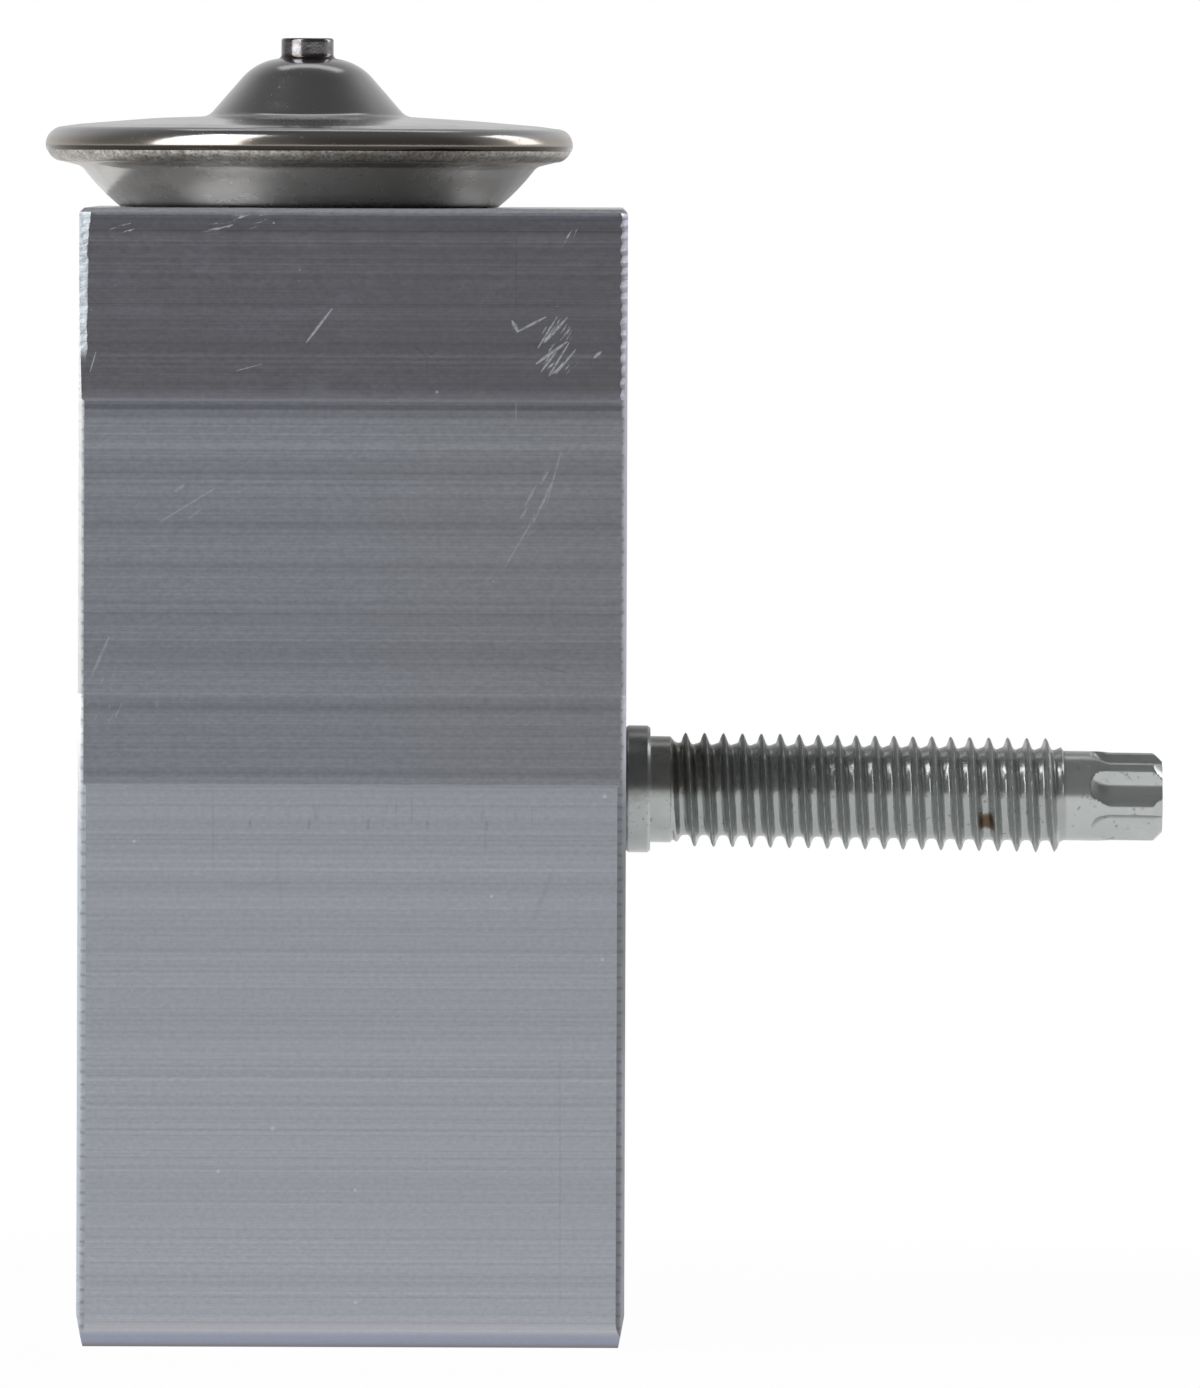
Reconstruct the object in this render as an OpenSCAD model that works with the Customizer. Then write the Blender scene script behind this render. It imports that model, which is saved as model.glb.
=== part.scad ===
// Block expansion valve. The origin is on the valve axis at the underside of the block,
// with +X towards the stud side and +Z up. All sizes are in millimetres.

/* [Block] */
// Width between the two port faces
body_w = 28.5; // [27:0.1:32]
// Distance from the valve axis to the evaporator face
axis_to_left = 11.7; // [11:0.1:13]
// Depth of the block across the ports
body_d = 36; // [34:0.5:44]
// Height of the block
body_h = 59.25; // [58:0.25:66]
// Radius of the two long bottom edges
bottom_round = 1.4; // [0.5:0.1:2]
// Radius of the two long top edges
top_round = 0.4; // [0.2:0.1:0.8]
// Chamfer along the upright edges of the port faces
edge_chamfer = 0.45; // [0.2:0.05:0.8]
// Width of the bevel at the foot of each port face
foot_bevel_w = 0.32; // [0.1:0.02:0.6]
// Height of the bevel at the foot of each port face
foot_bevel_h = 1.7; // [0.8:0.1:3]
// Bevel over each port face
top_bevel = 0.25; // [0.1:0.05:0.5]
// Height of the lower step on the extruded flanks
flank_low_z = 29.2; // [24:0.1:34]
// Height of the upper step on the extruded flanks
flank_high_z = 49.2; // [42:0.1:54]
// Depth of each flank step
flank_step = 0.15; // [0.05:0.05:0.4]
// Inward lean of the flank above the upper step
flank_lean = 0.25; // [0.05:0.05:0.6]

/* [Ports] */
// Height of the suction passage
suction_z = 42.5; // [42:0.1:43.5]
// Radius of the suction passage
suction_r = 6.6; // [5.5:0.1:6.8]
// Radius of the suction ports
suction_port_r = 8.0; // [7.2:0.1:8.4]
// Depth of the suction ports
suction_port_depth = 6.0; // [4:0.5:7]
// Height of the liquid inlet
inlet_z = 13.6; // [13.4:0.1:14.2]
// Radius of the liquid inlet port
inlet_port_r = 6.2; // [5:0.1:6.6]
// Depth of the liquid inlet port
inlet_port_depth = 7.0; // [4:0.5:8]
// Height of the liquid outlet
outlet_z = 24.0; // [23.8:0.1:24.6]
// Radius of the liquid outlet port
outlet_port_r = 6.2; // [5:0.1:6.6]
// Depth of the liquid outlet port
outlet_port_depth = 4.2; // [3:0.1:4.6]
// Radius of the liquid passages
liquid_r = 3.4; // [2.8:0.1:3.4]
// How far the outlet passage runs past the valve axis
outlet_overrun = 3.8; // [3:0.1:5]
// Lead-in chamfer of every port
port_chamfer = 0.4; // [0.2:0.1:0.8]

/* [Fixings] */
// Height of the stud and of the two mounting holes
fixing_z = 28.5; // [27.5:0.1:29.5]
// Distance between the two mounting holes
mount_spacing = 26; // [24:0.5:27]
// Radius of the mounting holes
mount_hole_r = 2.75; // [2.2:0.05:3]
// Thread radius of the stud
stud_r = 3.0; // [2.8:0.1:3.2]
// Depth of the stud's hole in the block
stud_hole_depth = 8.5; // [8.2:0.1:9]
// Length of the stud inside the block
stud_grip = 8.0; // [6:0.1:8.1]
// Radius of the stud's collar
collar_r = 3.35; // [3.25:0.05:4.5]
// Thickness of the stud's collar
collar_h = 1.3; // [0.8:0.1:2]
// Radius of the thread relief next to the collar
relief_r = 2.5; // [2.2:0.05:2.7]
// Length of the thread relief
relief_l = 0.5; // [0.3:0.1:1]
// Length of the stud's thread
thread_l = 21.2; // [15:0.1:30]
// Chamfer at both ends of the thread
thread_chamfer = 0.4; // [0.2:0.05:0.6]
// Radius of the neck between thread and drive
neck_r = 2.325; // [2:0.025:2.4]
// Length of the neck
neck_l = 2.0; // [1:0.1:3]
// Length of the six-lobe drive
drive_l = 3.3; // [2.5:0.1:5]
// Tip radius of the six-lobe drive
drive_tip_r = 2.36; // [2.2:0.02:2.5]
// Valley radius of the six-lobe drive
drive_valley_r = 1.68; // [1.5:0.02:1.8]
// Radius of each rounded lobe
lobe_r = 0.46; // [0.3:0.02:0.55]
// Chamfer at the free end of the drive
drive_chamfer = 0.5; // [0.2:0.1:0.8]
// Angle of the drive about the stud, in degrees
drive_turn = 40; // [0:5:60]

/* [Power element] */
// Radius of the threaded neck
neck_thread_r = 8.0; // [7.4:0.1:8.2]
// Length of the threaded neck
neck_thread_l = 6.5; // [4:0.1:6.6]
// Bore of the threaded neck
neck_bore_r = 5.6; // [4.8:0.1:6]
// Radius of the cup where it meets the block
cup_foot_r = 9.95; // [9.6:0.05:10.4]
// Radius of the cup under the rim
cup_top_r = 12.0; // [11.6:0.05:12.4]
// Height of the cup's shoulder over the block
shoulder_z = 2.15; // [1.9:0.05:2.3]
// Bulge of the cup's side
cup_bulge = 0.09; // [0.02:0.01:0.2]
// Height of the rim's underside over the block
rim_bottom = 2.4; // [2.35:0.05:3]
// Thickness of the rim
rim_h = 1.8; // [1.5:0.05:2.2]
// Radius of the rim
rim_r = 13.9; // [13.6:0.05:14.5]
// Thickness of the diaphragm
diaphragm_t = 0.15; // [0.1:0.05:0.2]
// Height of the diaphragm's corrugations
ripple_h = 0.2; // [0.1:0.05:0.25]
// Number of corrugations
ripples = 3; // [2:1:4]
// Wall thickness of the upper cover
cover_wall = 0.8; // [0.6:0.05:0.9]
// Wall of the cup beside the diaphragm chamber
cup_wall = 1.5; // [1.2:0.05:1.7]
// Bevel inside the diaphragm chamber, over and under the diaphragm
chamber_bevel = 0.8; // [0.5:0.05:0.9]
// Height of the cover's flange next to the dome, over the block
flange_inner_z = 4.82; // [4.7:0.02:5.1]
// Height of the cover's flange next to the rim, over the block
flange_outer_z = 4.33; // [4.25:0.01:4.5]
// Radius at which the flange runs into the rounded rim
flange_outer_r = 12.1; // [11.8:0.1:12.5]
// Radius of the dome's foot
dome_foot_r = 5.2; // [4.8:0.05:5.6]
// Height of the dome's top over the block
dome_top_z = 7.88; // [7.4:0.02:8.4]
// Slope of the dome's side in degrees
dome_slope = 49; // [46:1:54]
// Radius of the dome's shoulder
dome_round = 3.0; // [2:0.1:3.2]
// Radius of the charge pin
pin_r = 1.4; // [1.1:0.05:1.6]
// Height of the charge pin over the dome
pin_h = 1.05; // [0.8:0.1:1.6]
// Radius of the fill hole
fill_hole_r = 0.7; // [0.4:0.1:0.9]
// Radius of the pin's rounded edge
pin_round = 0.15; // [0.05:0.05:0.3]
// Section radius of the head seal
head_seal_s = 0.5; // [0.4:0.02:0.6]

/* [Valve mechanism] */
// Lift of the ball when the valve is fully open
stroke = 0.6; // [0.4:0.05:0.7]
// Radius of the thrust plate
plate_r = 6.6; // [6.2:0.1:6.8]
// Thickness of the thrust plate
plate_t = 1.0; // [0.8:0.05:1.1]
// Radius of the thrust plate's hub
hub_r = 3.4; // [3:0.1:3.8]
// Length of the hub below the plate
hub_l = 5.5; // [4.5:0.1:6]
// Depth of the rod's socket in the hub
hub_socket = 2.5; // [1.5:0.1:3.5]
// Radius of the rod in the suction passage
rod_r = 2.2; // [1.9:0.1:2.4]
// Radius of the rod in its guide
rod_guide_r = 1.6; // [1.4:0.05:1.7]
// Radius of the rod's tip
rod_tip_r = 1.1; // [0.8:0.05:1.2]
// Radius of the hole between the suction passage and the head
gallery_r = 4.0; // [3.6:0.1:4.5]
// Radius of the rod seal's pocket
seal_pocket_r = 3.2; // [3:0.05:3.4]
// Depth of the rod seal's pocket below the suction passage
seal_pocket_h = 2.9; // [2.8:0.1:3.4]
// Thickness of the ring over the rod seal
retainer_t = 1.0; // [0.8:0.1:1.1]
// Height of the valve seat
seat_z = 19.2; // [19:0.1:19.6]
// Radius of the orifice
orifice_r = 2.3; // [2:0.05:2.4]
// Radius of the ball
ball_r = 3.0; // [2.8:0.05:3.2]
// Radius of the spring chamber
chamber_bore_r = 6.4; // [6.2:0.05:6.6]
// Radius of the carrier's cup
carrier_r = 3.6; // [3.3:0.05:3.8]
// Height of the carrier's cup over the circle on which the ball sits
carrier_lip = 0.8; // [0.5:0.1:1]
// Radius of the flat at the bottom of the carrier's cup
carrier_foot_r = 1.0; // [0.6:0.1:1.2]
// Distance from the ball's underside down to the carrier's flange
carrier_stem = 1.6; // [1.4:0.1:2]
// Radius of the carrier's flange
carrier_flange_r = 5.3; // [4.9:0.05:5.5]
// Thickness of the carrier's flange
carrier_flange_t = 1.2; // [0.8:0.1:1.4]
// Length of the carrier's spigot inside the spring
spigot_l = 1.75; // [1:0.05:2]
// Width of each leg of the damping spring
leg_w = 2.2; // [1.5:0.1:3]
// Height of each leg of the damping spring
leg_h = 2.2; // [1.5:0.1:2.3]
// Thickness of the damping spring's sheet
leg_t = 0.3; // [0.2:0.05:0.4]
// Number of legs on the damping spring
legs = 3; // [3:2:3]
// Wire thickness of the superheat spring
wire_d = 1.0; // [0.8:0.05:1.1]
// Mean radius of the superheat spring
spring_r = 3.9; // [3.8:0.02:3.94]
// Number of turns of the superheat spring
spring_turns = 5; // [4:1:5]

/* [Adjusting plug] */
// Thread radius of the plug
plug_thread_r = 7.0; // [6.8:0.1:7.4]
// Length of the plug's thread
plug_thread_l = 4.0; // [3:0.1:4]
// Travel of the plug each way, one turn of its thread
plug_travel = 1.0; // [0.75:0.25:1]
// How deep the plug sits in the block
plug_sink = 1.2; // [1.1:0.1:1.5]
// Overall length of the plug
plug_l = 8.4; // [8.2:0.1:8.6]
// Bore of the plug, which holds the spring
plug_bore_r = 4.55; // [4.5:0.01:4.7]
// Distance across the flats of the hexagon socket
socket_af = 5.0; // [4:0.5:6]
// Depth of the hexagon socket
socket_depth = 2.2; // [1.5:0.1:2.4]
// Thickness of the plug's floor over the socket
plug_floor = 1.0; // [0.6:0.1:1.4]
// Width of the plug's seal groove
groove_w = 1.1; // [1.05:0.05:1.2]
// Distance from the groove to the plug's upper end
groove_lip = 0.9; // [0.6:0.1:1]
// Depth of the plug's seal groove below the chamber wall
groove_depth = 1.0; // [0.8:0.05:1.0]

/* [Fits] */
// Radial clearance of pieces that slide
run_gap = 0.05; // [0.02:0.01:0.08]
// Clearance of a seal to the wall it moves on
seal_gap = 0.02; // [0.01:0.01:0.04]
// Clearance at the stops of the stroke
stop_gap = 0.02; // [0.01:0.01:0.04]

/* [Hidden] */
$fn = 96;
over = 1;
left_x = -axis_to_left;
right_x = body_w - axis_to_left;
half_d = body_d / 2;

// Heights in the power element, over the top of the block
rim_round = rim_h / 2;
clamp_z = rim_bottom + rim_round;
flange_r = rim_r - rim_round;
under_diaphragm = clamp_z - diaphragm_t;
chamber_r = cup_top_r - cup_wall;
plate_bottom = under_diaphragm - plate_t;
stop_z = plate_bottom - stroke - stop_gap;
head_recess = neck_thread_l + 0.5;
head_seal_r = neck_thread_r + head_seal_s + 0.1;
head_seal_bore_r = head_seal_r + head_seal_s + 0.05;

// Dome of the upper cover: a cone that a shoulder arc joins to a flat top
dome_corner_r = dome_foot_r - (dome_top_z - flange_inner_z) / tan(dome_slope);
dome_arc_r = dome_corner_r - dome_round * tan(dome_slope / 2);
dome_arc_z = dome_top_z - dome_round;

// Heights in the block
pocket_z = suction_z - suction_r - seal_pocket_h;
rod_step_z = suction_z - suction_r + stroke + 0.5;
rod_top_z = body_h + plate_bottom - hub_l + hub_socket;
guide_z = outlet_z + liquid_r;
tip_top_z = guide_z + stroke + 0.3;
ball_z = seat_z - sqrt(ball_r * ball_r - orifice_r * orifice_r) - stop_gap;
chamber_cone = (chamber_bore_r - orifice_r) * tan(30);
chamber_top = seat_z - chamber_cone;
carrier_seat = ball_r * cos(45);
carrier_rim_z = ball_z - carrier_seat + carrier_lip;
carrier_flange_z = ball_z - ball_r - carrier_stem;

// Heights of the plug and of the spring in it
plug_z = plug_sink;
plug_top = plug_z + plug_l;
thread_top = plug_z + plug_thread_l + plug_travel + 0.2;
spring_z0 = plug_z + socket_depth + plug_floor;
spring_z1 = carrier_flange_z;
groove_top = plug_top - groove_lip;
groove_r = chamber_bore_r - groove_depth;
plug_seal_s = groove_depth / 2 - seal_gap;
end_pitch = wire_d + 0.1;
mid_pitch = (spring_z1 - spring_z0 - wire_d - 2 * end_pitch) / (spring_turns - 2);

// Distances along the stud from the port face
relief_end = collar_h + relief_l;
thread_end = relief_end + thread_l;
neck_end = thread_end + neck_l;
stud_end = neck_end + drive_l;
lobe_c = drive_tip_r - lobe_r;
lobe_gap = drive_valley_r + lobe_r;
flute_c = (lobe_c * lobe_c - pow(lobe_r - drive_valley_r, 2))
    / (2 * (lobe_c * cos(30) + lobe_r - drive_valley_r));
flute_r = flute_c - drive_valley_r;

// Points on an arc, from angle a0 to a1 in n steps
function arc(c, r, a0, a1, n = 8) =
    [for (i = [0 : n]) c + r * [cos(a0 + (a1 - a0) * i / n), sin(a0 + (a1 - a0) * i / n)]];

// Points from a to b on a shallow arc that bulges by s to the right of that line
function bowed(a, b, s, n = 8) =
    let (d = b - a, side = [d[1], -d[0]] / norm(d))
    [for (i = [0 : n]) a + d * i / n + side * s * 4 * i * (n - i) / (n * n)];

// A hole along X that starts at a port face, side is 1 on the right and -1 on the left
module face_hole(side, z, r, depth, chamfer = 0, y = 0) {
    face_x = side > 0 ? right_x : left_x;
    translate([face_x + side * over, y, z]) rotate([0, -90 * side, 0]) {
        cylinder(h = depth + over, r = r);
        if (chamfer > 0) cylinder(h = chamfer + over, r1 = r + chamfer + over, r2 = r);
    }
}

// The piece of a square corner that lies outside its rounding
module corner_waste(r) {
    difference() {
        square(r + over);
        circle(r = r);
    }
}

// Outline of the extrusion, seen along the flow
module extrusion_profile() {
    mid_d = half_d - flank_step;
    high_d = mid_d - flank_step;
    top_d = high_d - flank_lean;
    difference() {
        polygon([
            [-half_d, 0], [half_d, 0],
            [half_d, flank_low_z], [mid_d, flank_low_z + flank_step],
            [mid_d, flank_high_z], [high_d, flank_high_z + flank_step], [top_d, body_h],
            [-top_d, body_h], [-high_d, flank_high_z + flank_step], [-mid_d, flank_high_z],
            [-mid_d, flank_low_z + flank_step], [-half_d, flank_low_z]
        ]);
        for (m = [0, 1]) mirror([m, 0]) {
            translate([half_d - bottom_round, bottom_round]) rotate(-90) corner_waste(bottom_round);
            translate([top_d - top_round, body_h - top_round]) corner_waste(top_round);
        }
    }
}

// Outline of the block seen from its side, with the bevels of the port faces
module side_outline() {
    polygon([
        [left_x + foot_bevel_w, 0], [right_x - foot_bevel_w, 0],
        [right_x, foot_bevel_h], [right_x, body_h - top_bevel],
        [right_x - top_bevel, body_h], [left_x + top_bevel, body_h],
        [left_x, body_h - top_bevel], [left_x, foot_bevel_h]
    ]);
}

// Outline of the block seen from above, with its chamfered upright edges
module plan_outline() {
    c = edge_chamfer;
    polygon([
        [left_x + c, -half_d], [right_x - c, -half_d], [right_x, c - half_d], [right_x, half_d - c],
        [right_x - c, half_d], [left_x + c, half_d], [left_x, half_d - c], [left_x, c - half_d]
    ]);
}

module block() {
    intersection() {
        translate([left_x, 0, 0]) rotate([90, 0, 90]) linear_extrude(body_w) extrusion_profile();
        translate([0, half_d, 0]) rotate([90, 0, 0]) linear_extrude(body_d) side_outline();
        linear_extrude(body_h) plan_outline();
    }
}

// Everything bored on the valve axis, from the plug's thread to the head's thread
module axis_bores() {
    translate([0, 0, -over]) cylinder(h = thread_top + over, r = plug_thread_r);
    translate([0, 0, -over])
        cylinder(h = over + port_chamfer, r1 = plug_thread_r + port_chamfer + over, r2 = plug_thread_r);
    translate([0, 0, plug_z]) cylinder(h = chamber_top - plug_z, r = chamber_bore_r);
    translate([0, 0, chamber_top]) cylinder(h = chamber_cone, r1 = chamber_bore_r, r2 = orifice_r);
    translate([0, 0, seat_z - stop_gap]) cylinder(h = outlet_z - seat_z, r = orifice_r);
    translate([0, 0, outlet_z]) cylinder(h = suction_z - outlet_z, r = rod_guide_r + run_gap);
    translate([0, 0, pocket_z]) cylinder(h = suction_z - pocket_z, r = seal_pocket_r);
    translate([0, 0, suction_z]) cylinder(h = body_h - suction_z, r = gallery_r);
    translate([0, 0, body_h - head_recess]) cylinder(h = head_recess + over, r = neck_thread_r);
    translate([0, 0, body_h - 2 * head_seal_s]) cylinder(h = 2 * head_seal_s + over, r = head_seal_bore_r);
}

module port_bores() {
    for (side = [-1, 1]) face_hole(side, suction_z, suction_port_r, suction_port_depth, port_chamfer);
    face_hole(1, suction_z, suction_r, body_w + over);
    face_hole(1, inlet_z, inlet_port_r, inlet_port_depth, port_chamfer);
    face_hole(1, inlet_z, liquid_r, right_x);
    face_hole(-1, outlet_z, outlet_port_r, outlet_port_depth, port_chamfer);
    face_hole(-1, outlet_z, liquid_r, axis_to_left + outlet_overrun);
}

module fixing_bores() {
    face_hole(1, fixing_z, stud_r, stud_hole_depth);
    for (side = [-1, 1]) face_hole(1, fixing_z, mount_hole_r, body_w + over, y = side * mount_spacing / 2);
}

module valve_body() {
    color("#93969a") difference() {
        block();
        axis_bores();
        port_bores();
        fixing_bores();
    }
}

module lower_cover() {
    color("#8d867c") translate([0, 0, body_h]) rotate_extrude() polygon(concat(
        [[neck_bore_r, -neck_thread_l], [neck_thread_r - 0.5, -neck_thread_l],
            [neck_thread_r, 0.5 - neck_thread_l], [neck_thread_r, 0]],
        bowed([cup_foot_r, 0], [cup_top_r, shoulder_z], cup_bulge),
        [[flange_r, rim_bottom], [flange_r, under_diaphragm],
            [chamber_r, under_diaphragm], [chamber_r, stop_z + chamber_bevel],
            [chamber_r - chamber_bevel, stop_z], [neck_bore_r, stop_z]]
    ));
}

// Half section of the cover's dome, drawn inside its skin by t
function dome_points(t) = arc([dome_arc_r, dome_arc_z], dome_round - t, 90, 90 - dome_slope);

// Radius at which the dome's side meets height z, inside its skin by t
function dome_foot(t, z) = let (p = dome_points(t)[8]) p[0] + (p[1] - z) / tan(dome_slope);

module upper_cover() {
    inner_z = flange_inner_z - cover_wall;
    color("#cfcbc2") translate([0, 0, body_h]) rotate_extrude() polygon(concat(
        [[fill_hole_r, dome_top_z]], dome_points(0),
        [[dome_foot(0, flange_inner_z), flange_inner_z], [flange_outer_r, flange_outer_z]],
        arc([flange_r, clamp_z], rim_round, 90, 0),
        [[chamber_r, clamp_z], [chamber_r - 0.3, clamp_z + 0.3],
            [dome_foot(cover_wall, inner_z), inner_z]],
        [for (i = [8 : -1 : 0]) dome_points(cover_wall)[i]],
        [[fill_hole_r, dome_top_z - cover_wall]]
    ));
}

module rim_weld() {
    color("#b9b2a6") translate([0, 0, body_h]) rotate_extrude() polygon(concat(
        [[flange_r, clamp_z]], arc([flange_r, clamp_z], rim_round, 0, -90)
    ));
}

module charge_pin() {
    top = dome_top_z + pin_h;
    color("#b3a892") translate([0, 0, body_h]) rotate_extrude() polygon(concat(
        [[0, dome_top_z - cover_wall], [fill_hole_r, dome_top_z - cover_wall],
            [fill_hole_r, dome_top_z], [pin_r, dome_top_z]],
        arc([pin_r - pin_round, top - pin_round], pin_round, 0, 90, 4),
        [[0, top]]
    ));
}

// Height of the diaphragm's corrugations at radius r
function ripple(r) =
    r < plate_r + 0.2 || r > chamber_r - 0.2 ? 0
    : ripple_h * sin(180 * ripples * (r - plate_r - 0.2) / (chamber_r - plate_r - 0.4));

module diaphragm() {
    steps = 12 * ripples;
    radii = [for (i = [0 : steps]) plate_r + 0.2 + (chamber_r - plate_r - 0.4) * i / steps];
    color("#c9c9c4") translate([0, 0, body_h + under_diaphragm]) rotate_extrude() polygon(concat(
        [[0, 0]], [for (r = radii) [r, ripple(r) * 0.9]], [[flange_r, 0], [flange_r, diaphragm_t]],
        [for (i = [steps : -1 : 0]) [radii[i], ripple(radii[i]) * 0.9 + diaphragm_t]],
        [[0, diaphragm_t]]
    ));
}

// A ring with a round section of radius s, on mean radius r at height z
module o_ring(r, s, z) {
    color("#1f2022") translate([0, 0, z]) rotate_extrude() translate([r, 0]) circle(r = s, $fn = 32);
}

module head_o_ring() {
    o_ring(head_seal_r, head_seal_s, body_h - head_seal_s);
}

module rod_o_ring() {
    s = (seal_pocket_r - rod_guide_r) / 2 - seal_gap;
    o_ring((seal_pocket_r + rod_guide_r) / 2, s, pocket_z + s);
}

module plug_o_ring() {
    o_ring(chamber_bore_r - groove_depth / 2, plug_seal_s, groove_top - groove_w / 2);
}

module thrust_plate() {
    color("#a9abad") translate([0, 0, body_h + plate_bottom]) rotate_extrude() polygon([
        [0, plate_t], [plate_r, plate_t], [plate_r, 0], [hub_r, 0], [hub_r, -hub_l],
        [rod_r, -hub_l], [rod_r, hub_socket - hub_l], [0, hub_socket - hub_l]
    ]);
}

module sensing_rod() {
    color("#c3c6c8") rotate_extrude() polygon([
        [0, ball_z + ball_r], [rod_tip_r, ball_z + ball_r], [rod_tip_r, tip_top_z],
        [rod_guide_r, tip_top_z], [rod_guide_r, rod_step_z], [rod_r, rod_step_z + rod_r - rod_guide_r],
        [rod_r, rod_top_z], [0, rod_top_z]
    ]);
}

module rod_seal_retainer() {
    z = suction_z - suction_r - retainer_t - 0.2;
    color("#b08d3c") difference() {
        translate([0, 0, z]) cylinder(h = retainer_t, r = seal_pocket_r);
        translate([0, 0, z - over]) cylinder(h = retainer_t + 2 * over, r = rod_guide_r + run_gap);
    }
}

module valve_ball() {
    color("#d6d8da") translate([0, 0, ball_z]) sphere(r = ball_r);
}

module ball_carrier() {
    seat_z0 = ball_z - carrier_seat - (carrier_seat - carrier_foot_r);
    rim_r0 = carrier_foot_r + carrier_rim_z - seat_z0;
    spigot_r = spring_r - wire_d / 2 - 0.2;
    flange_top = carrier_flange_z + carrier_flange_t;
    color("#b7b9bb") rotate_extrude() polygon([
        [0, seat_z0], [carrier_foot_r, seat_z0], [rim_r0, carrier_rim_z], [carrier_r, carrier_rim_z],
        [carrier_r, flange_top], [carrier_flange_r, flange_top], [carrier_flange_r, carrier_flange_z],
        [spigot_r, carrier_flange_z], [spigot_r, carrier_flange_z - spigot_l + 0.3],
        [spigot_r - 0.3, carrier_flange_z - spigot_l], [0, carrier_flange_z - spigot_l]
    ]);
}

module damping_spring() {
    z = carrier_flange_z + carrier_flange_t;
    reach = chamber_bore_r - 2 * run_gap;
    color("#9fa2a5") translate([0, 0, z]) {
        difference() {
            cylinder(h = leg_t, r = carrier_flange_r);
            translate([0, 0, -over]) cylinder(h = leg_t + 2 * over, r = carrier_r);
        }
        for (i = [0 : legs - 1]) rotate(180 + i * 360 / legs) intersection() {
            translate([carrier_r + leg_t, -leg_w / 2, 0]) cube([reach, leg_w, leg_h]);
            difference() {
                cylinder(h = leg_h, r = reach);
                translate([0, 0, leg_t]) cylinder(h = leg_h, r = reach - leg_t);
            }
        }
    }
}

// Height of the spring's wire above its lower end, after t turns
function wire_z(t) =
    t < 1 ? t * end_pitch
    : t < spring_turns - 1 ? end_pitch + (t - 1) * mid_pitch
    : end_pitch + (spring_turns - 2) * mid_pitch + (t - spring_turns + 1) * end_pitch;

module superheat_spring() {
    sides = 10;
    rings = 28 * spring_turns;
    points = [
        for (i = [0 : rings], k = [0 : sides - 1])
            let (
                turn = i * spring_turns / rings,
                r = spring_r + wire_d / 2 * cos(360 * k / sides),
                z = wire_z(turn) + wire_d / 2 * sin(360 * k / sides)
            )
            [r * cos(360 * turn), r * sin(360 * turn), z]
    ];
    skin = [
        for (i = [0 : rings - 1], k = [0 : sides - 1])
            let (a = i * sides + k, b = i * sides + (k + 1) % sides)
            [a, b, b + sides, a + sides]
    ];
    caps = [[for (k = [sides - 1 : -1 : 0]) k], [for (k = [0 : sides - 1]) rings * sides + k]];
    color("#8b8e92") translate([0, 0, spring_z0 + wire_d / 2])
        polyhedron(points = points, faces = concat(skin, caps), convexity = 10);
}

module adjusting_plug() {
    color("#b99a4b") translate([0, 0, plug_z]) difference() {
        rotate_extrude() polygon([
            [0, 0], [plug_thread_r - run_gap - 0.4, 0], [plug_thread_r - run_gap, 0.4],
            [plug_thread_r - run_gap, plug_thread_l], [chamber_bore_r - run_gap, plug_thread_l],
            [chamber_bore_r - run_gap, plug_l - groove_lip - groove_w],
            [groove_r, plug_l - groove_lip - groove_w], [groove_r, plug_l - groove_lip],
            [chamber_bore_r - run_gap, plug_l - groove_lip], [chamber_bore_r - run_gap, plug_l - 0.3],
            [chamber_bore_r - run_gap - 0.3, plug_l], [plug_bore_r, plug_l],
            [plug_bore_r, socket_depth + plug_floor], [0, socket_depth + plug_floor]
        ]);
        translate([0, 0, -over]) cylinder(h = socket_depth + over, r = socket_af / 2 / cos(30), $fn = 6);
    }
}

// Cross-section of the six-lobe drive: rounded lobes joined by tangent flutes
module drive_profile() {
    difference() {
        polygon([for (i = [0 : 11]) (i % 2 == 0 ? lobe_c : flute_c) * [cos(30 * i), sin(30 * i)]]);
        for (i = [0 : 5]) rotate(30 + 60 * i) translate([flute_c, 0]) circle(r = flute_r, $fn = 48);
    }
    for (i = [0 : 5]) rotate(60 * i) translate([lobe_c, 0]) circle(r = lobe_r, $fn = 48);
}

module stud_shank() {
    rotate_extrude() polygon([
        [0, -stud_grip], [stud_r - thread_chamfer, -stud_grip], [stud_r, thread_chamfer - stud_grip],
        [stud_r, 0], [collar_r, 0], [collar_r, collar_h], [relief_r, collar_h], [relief_r, relief_end],
        [stud_r - thread_chamfer, relief_end], [stud_r, relief_end + thread_chamfer],
        [stud_r, thread_end - thread_chamfer], [stud_r - thread_chamfer, thread_end],
        [neck_r, thread_end], [neck_r, neck_end], [0, neck_end]
    ]);
}

module stud_drive() {
    intersection() {
        translate([0, 0, neck_end]) linear_extrude(drive_l) rotate(drive_turn) drive_profile();
        rotate_extrude() polygon([
            [0, neck_end], [drive_tip_r, neck_end], [drive_tip_r, stud_end - drive_chamfer],
            [drive_tip_r - drive_chamfer, stud_end], [0, stud_end]
        ]);
    }
}

module mounting_stud() {
    color("#a9a695") translate([right_x, 0, fixing_z]) rotate([0, 90, 0]) {
        stud_shank();
        stud_drive();
    }
}

valve_body();
lower_cover();
upper_cover();
rim_weld();
charge_pin();
diaphragm();
head_o_ring();
thrust_plate();
sensing_rod();
rod_o_ring();
rod_seal_retainer();
valve_ball();
ball_carrier();
damping_spring();
superheat_spring();
adjusting_plug();
plug_o_ring();
mounting_stud();
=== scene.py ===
import math
import bpy
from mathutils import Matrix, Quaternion, Vector, noise

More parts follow.
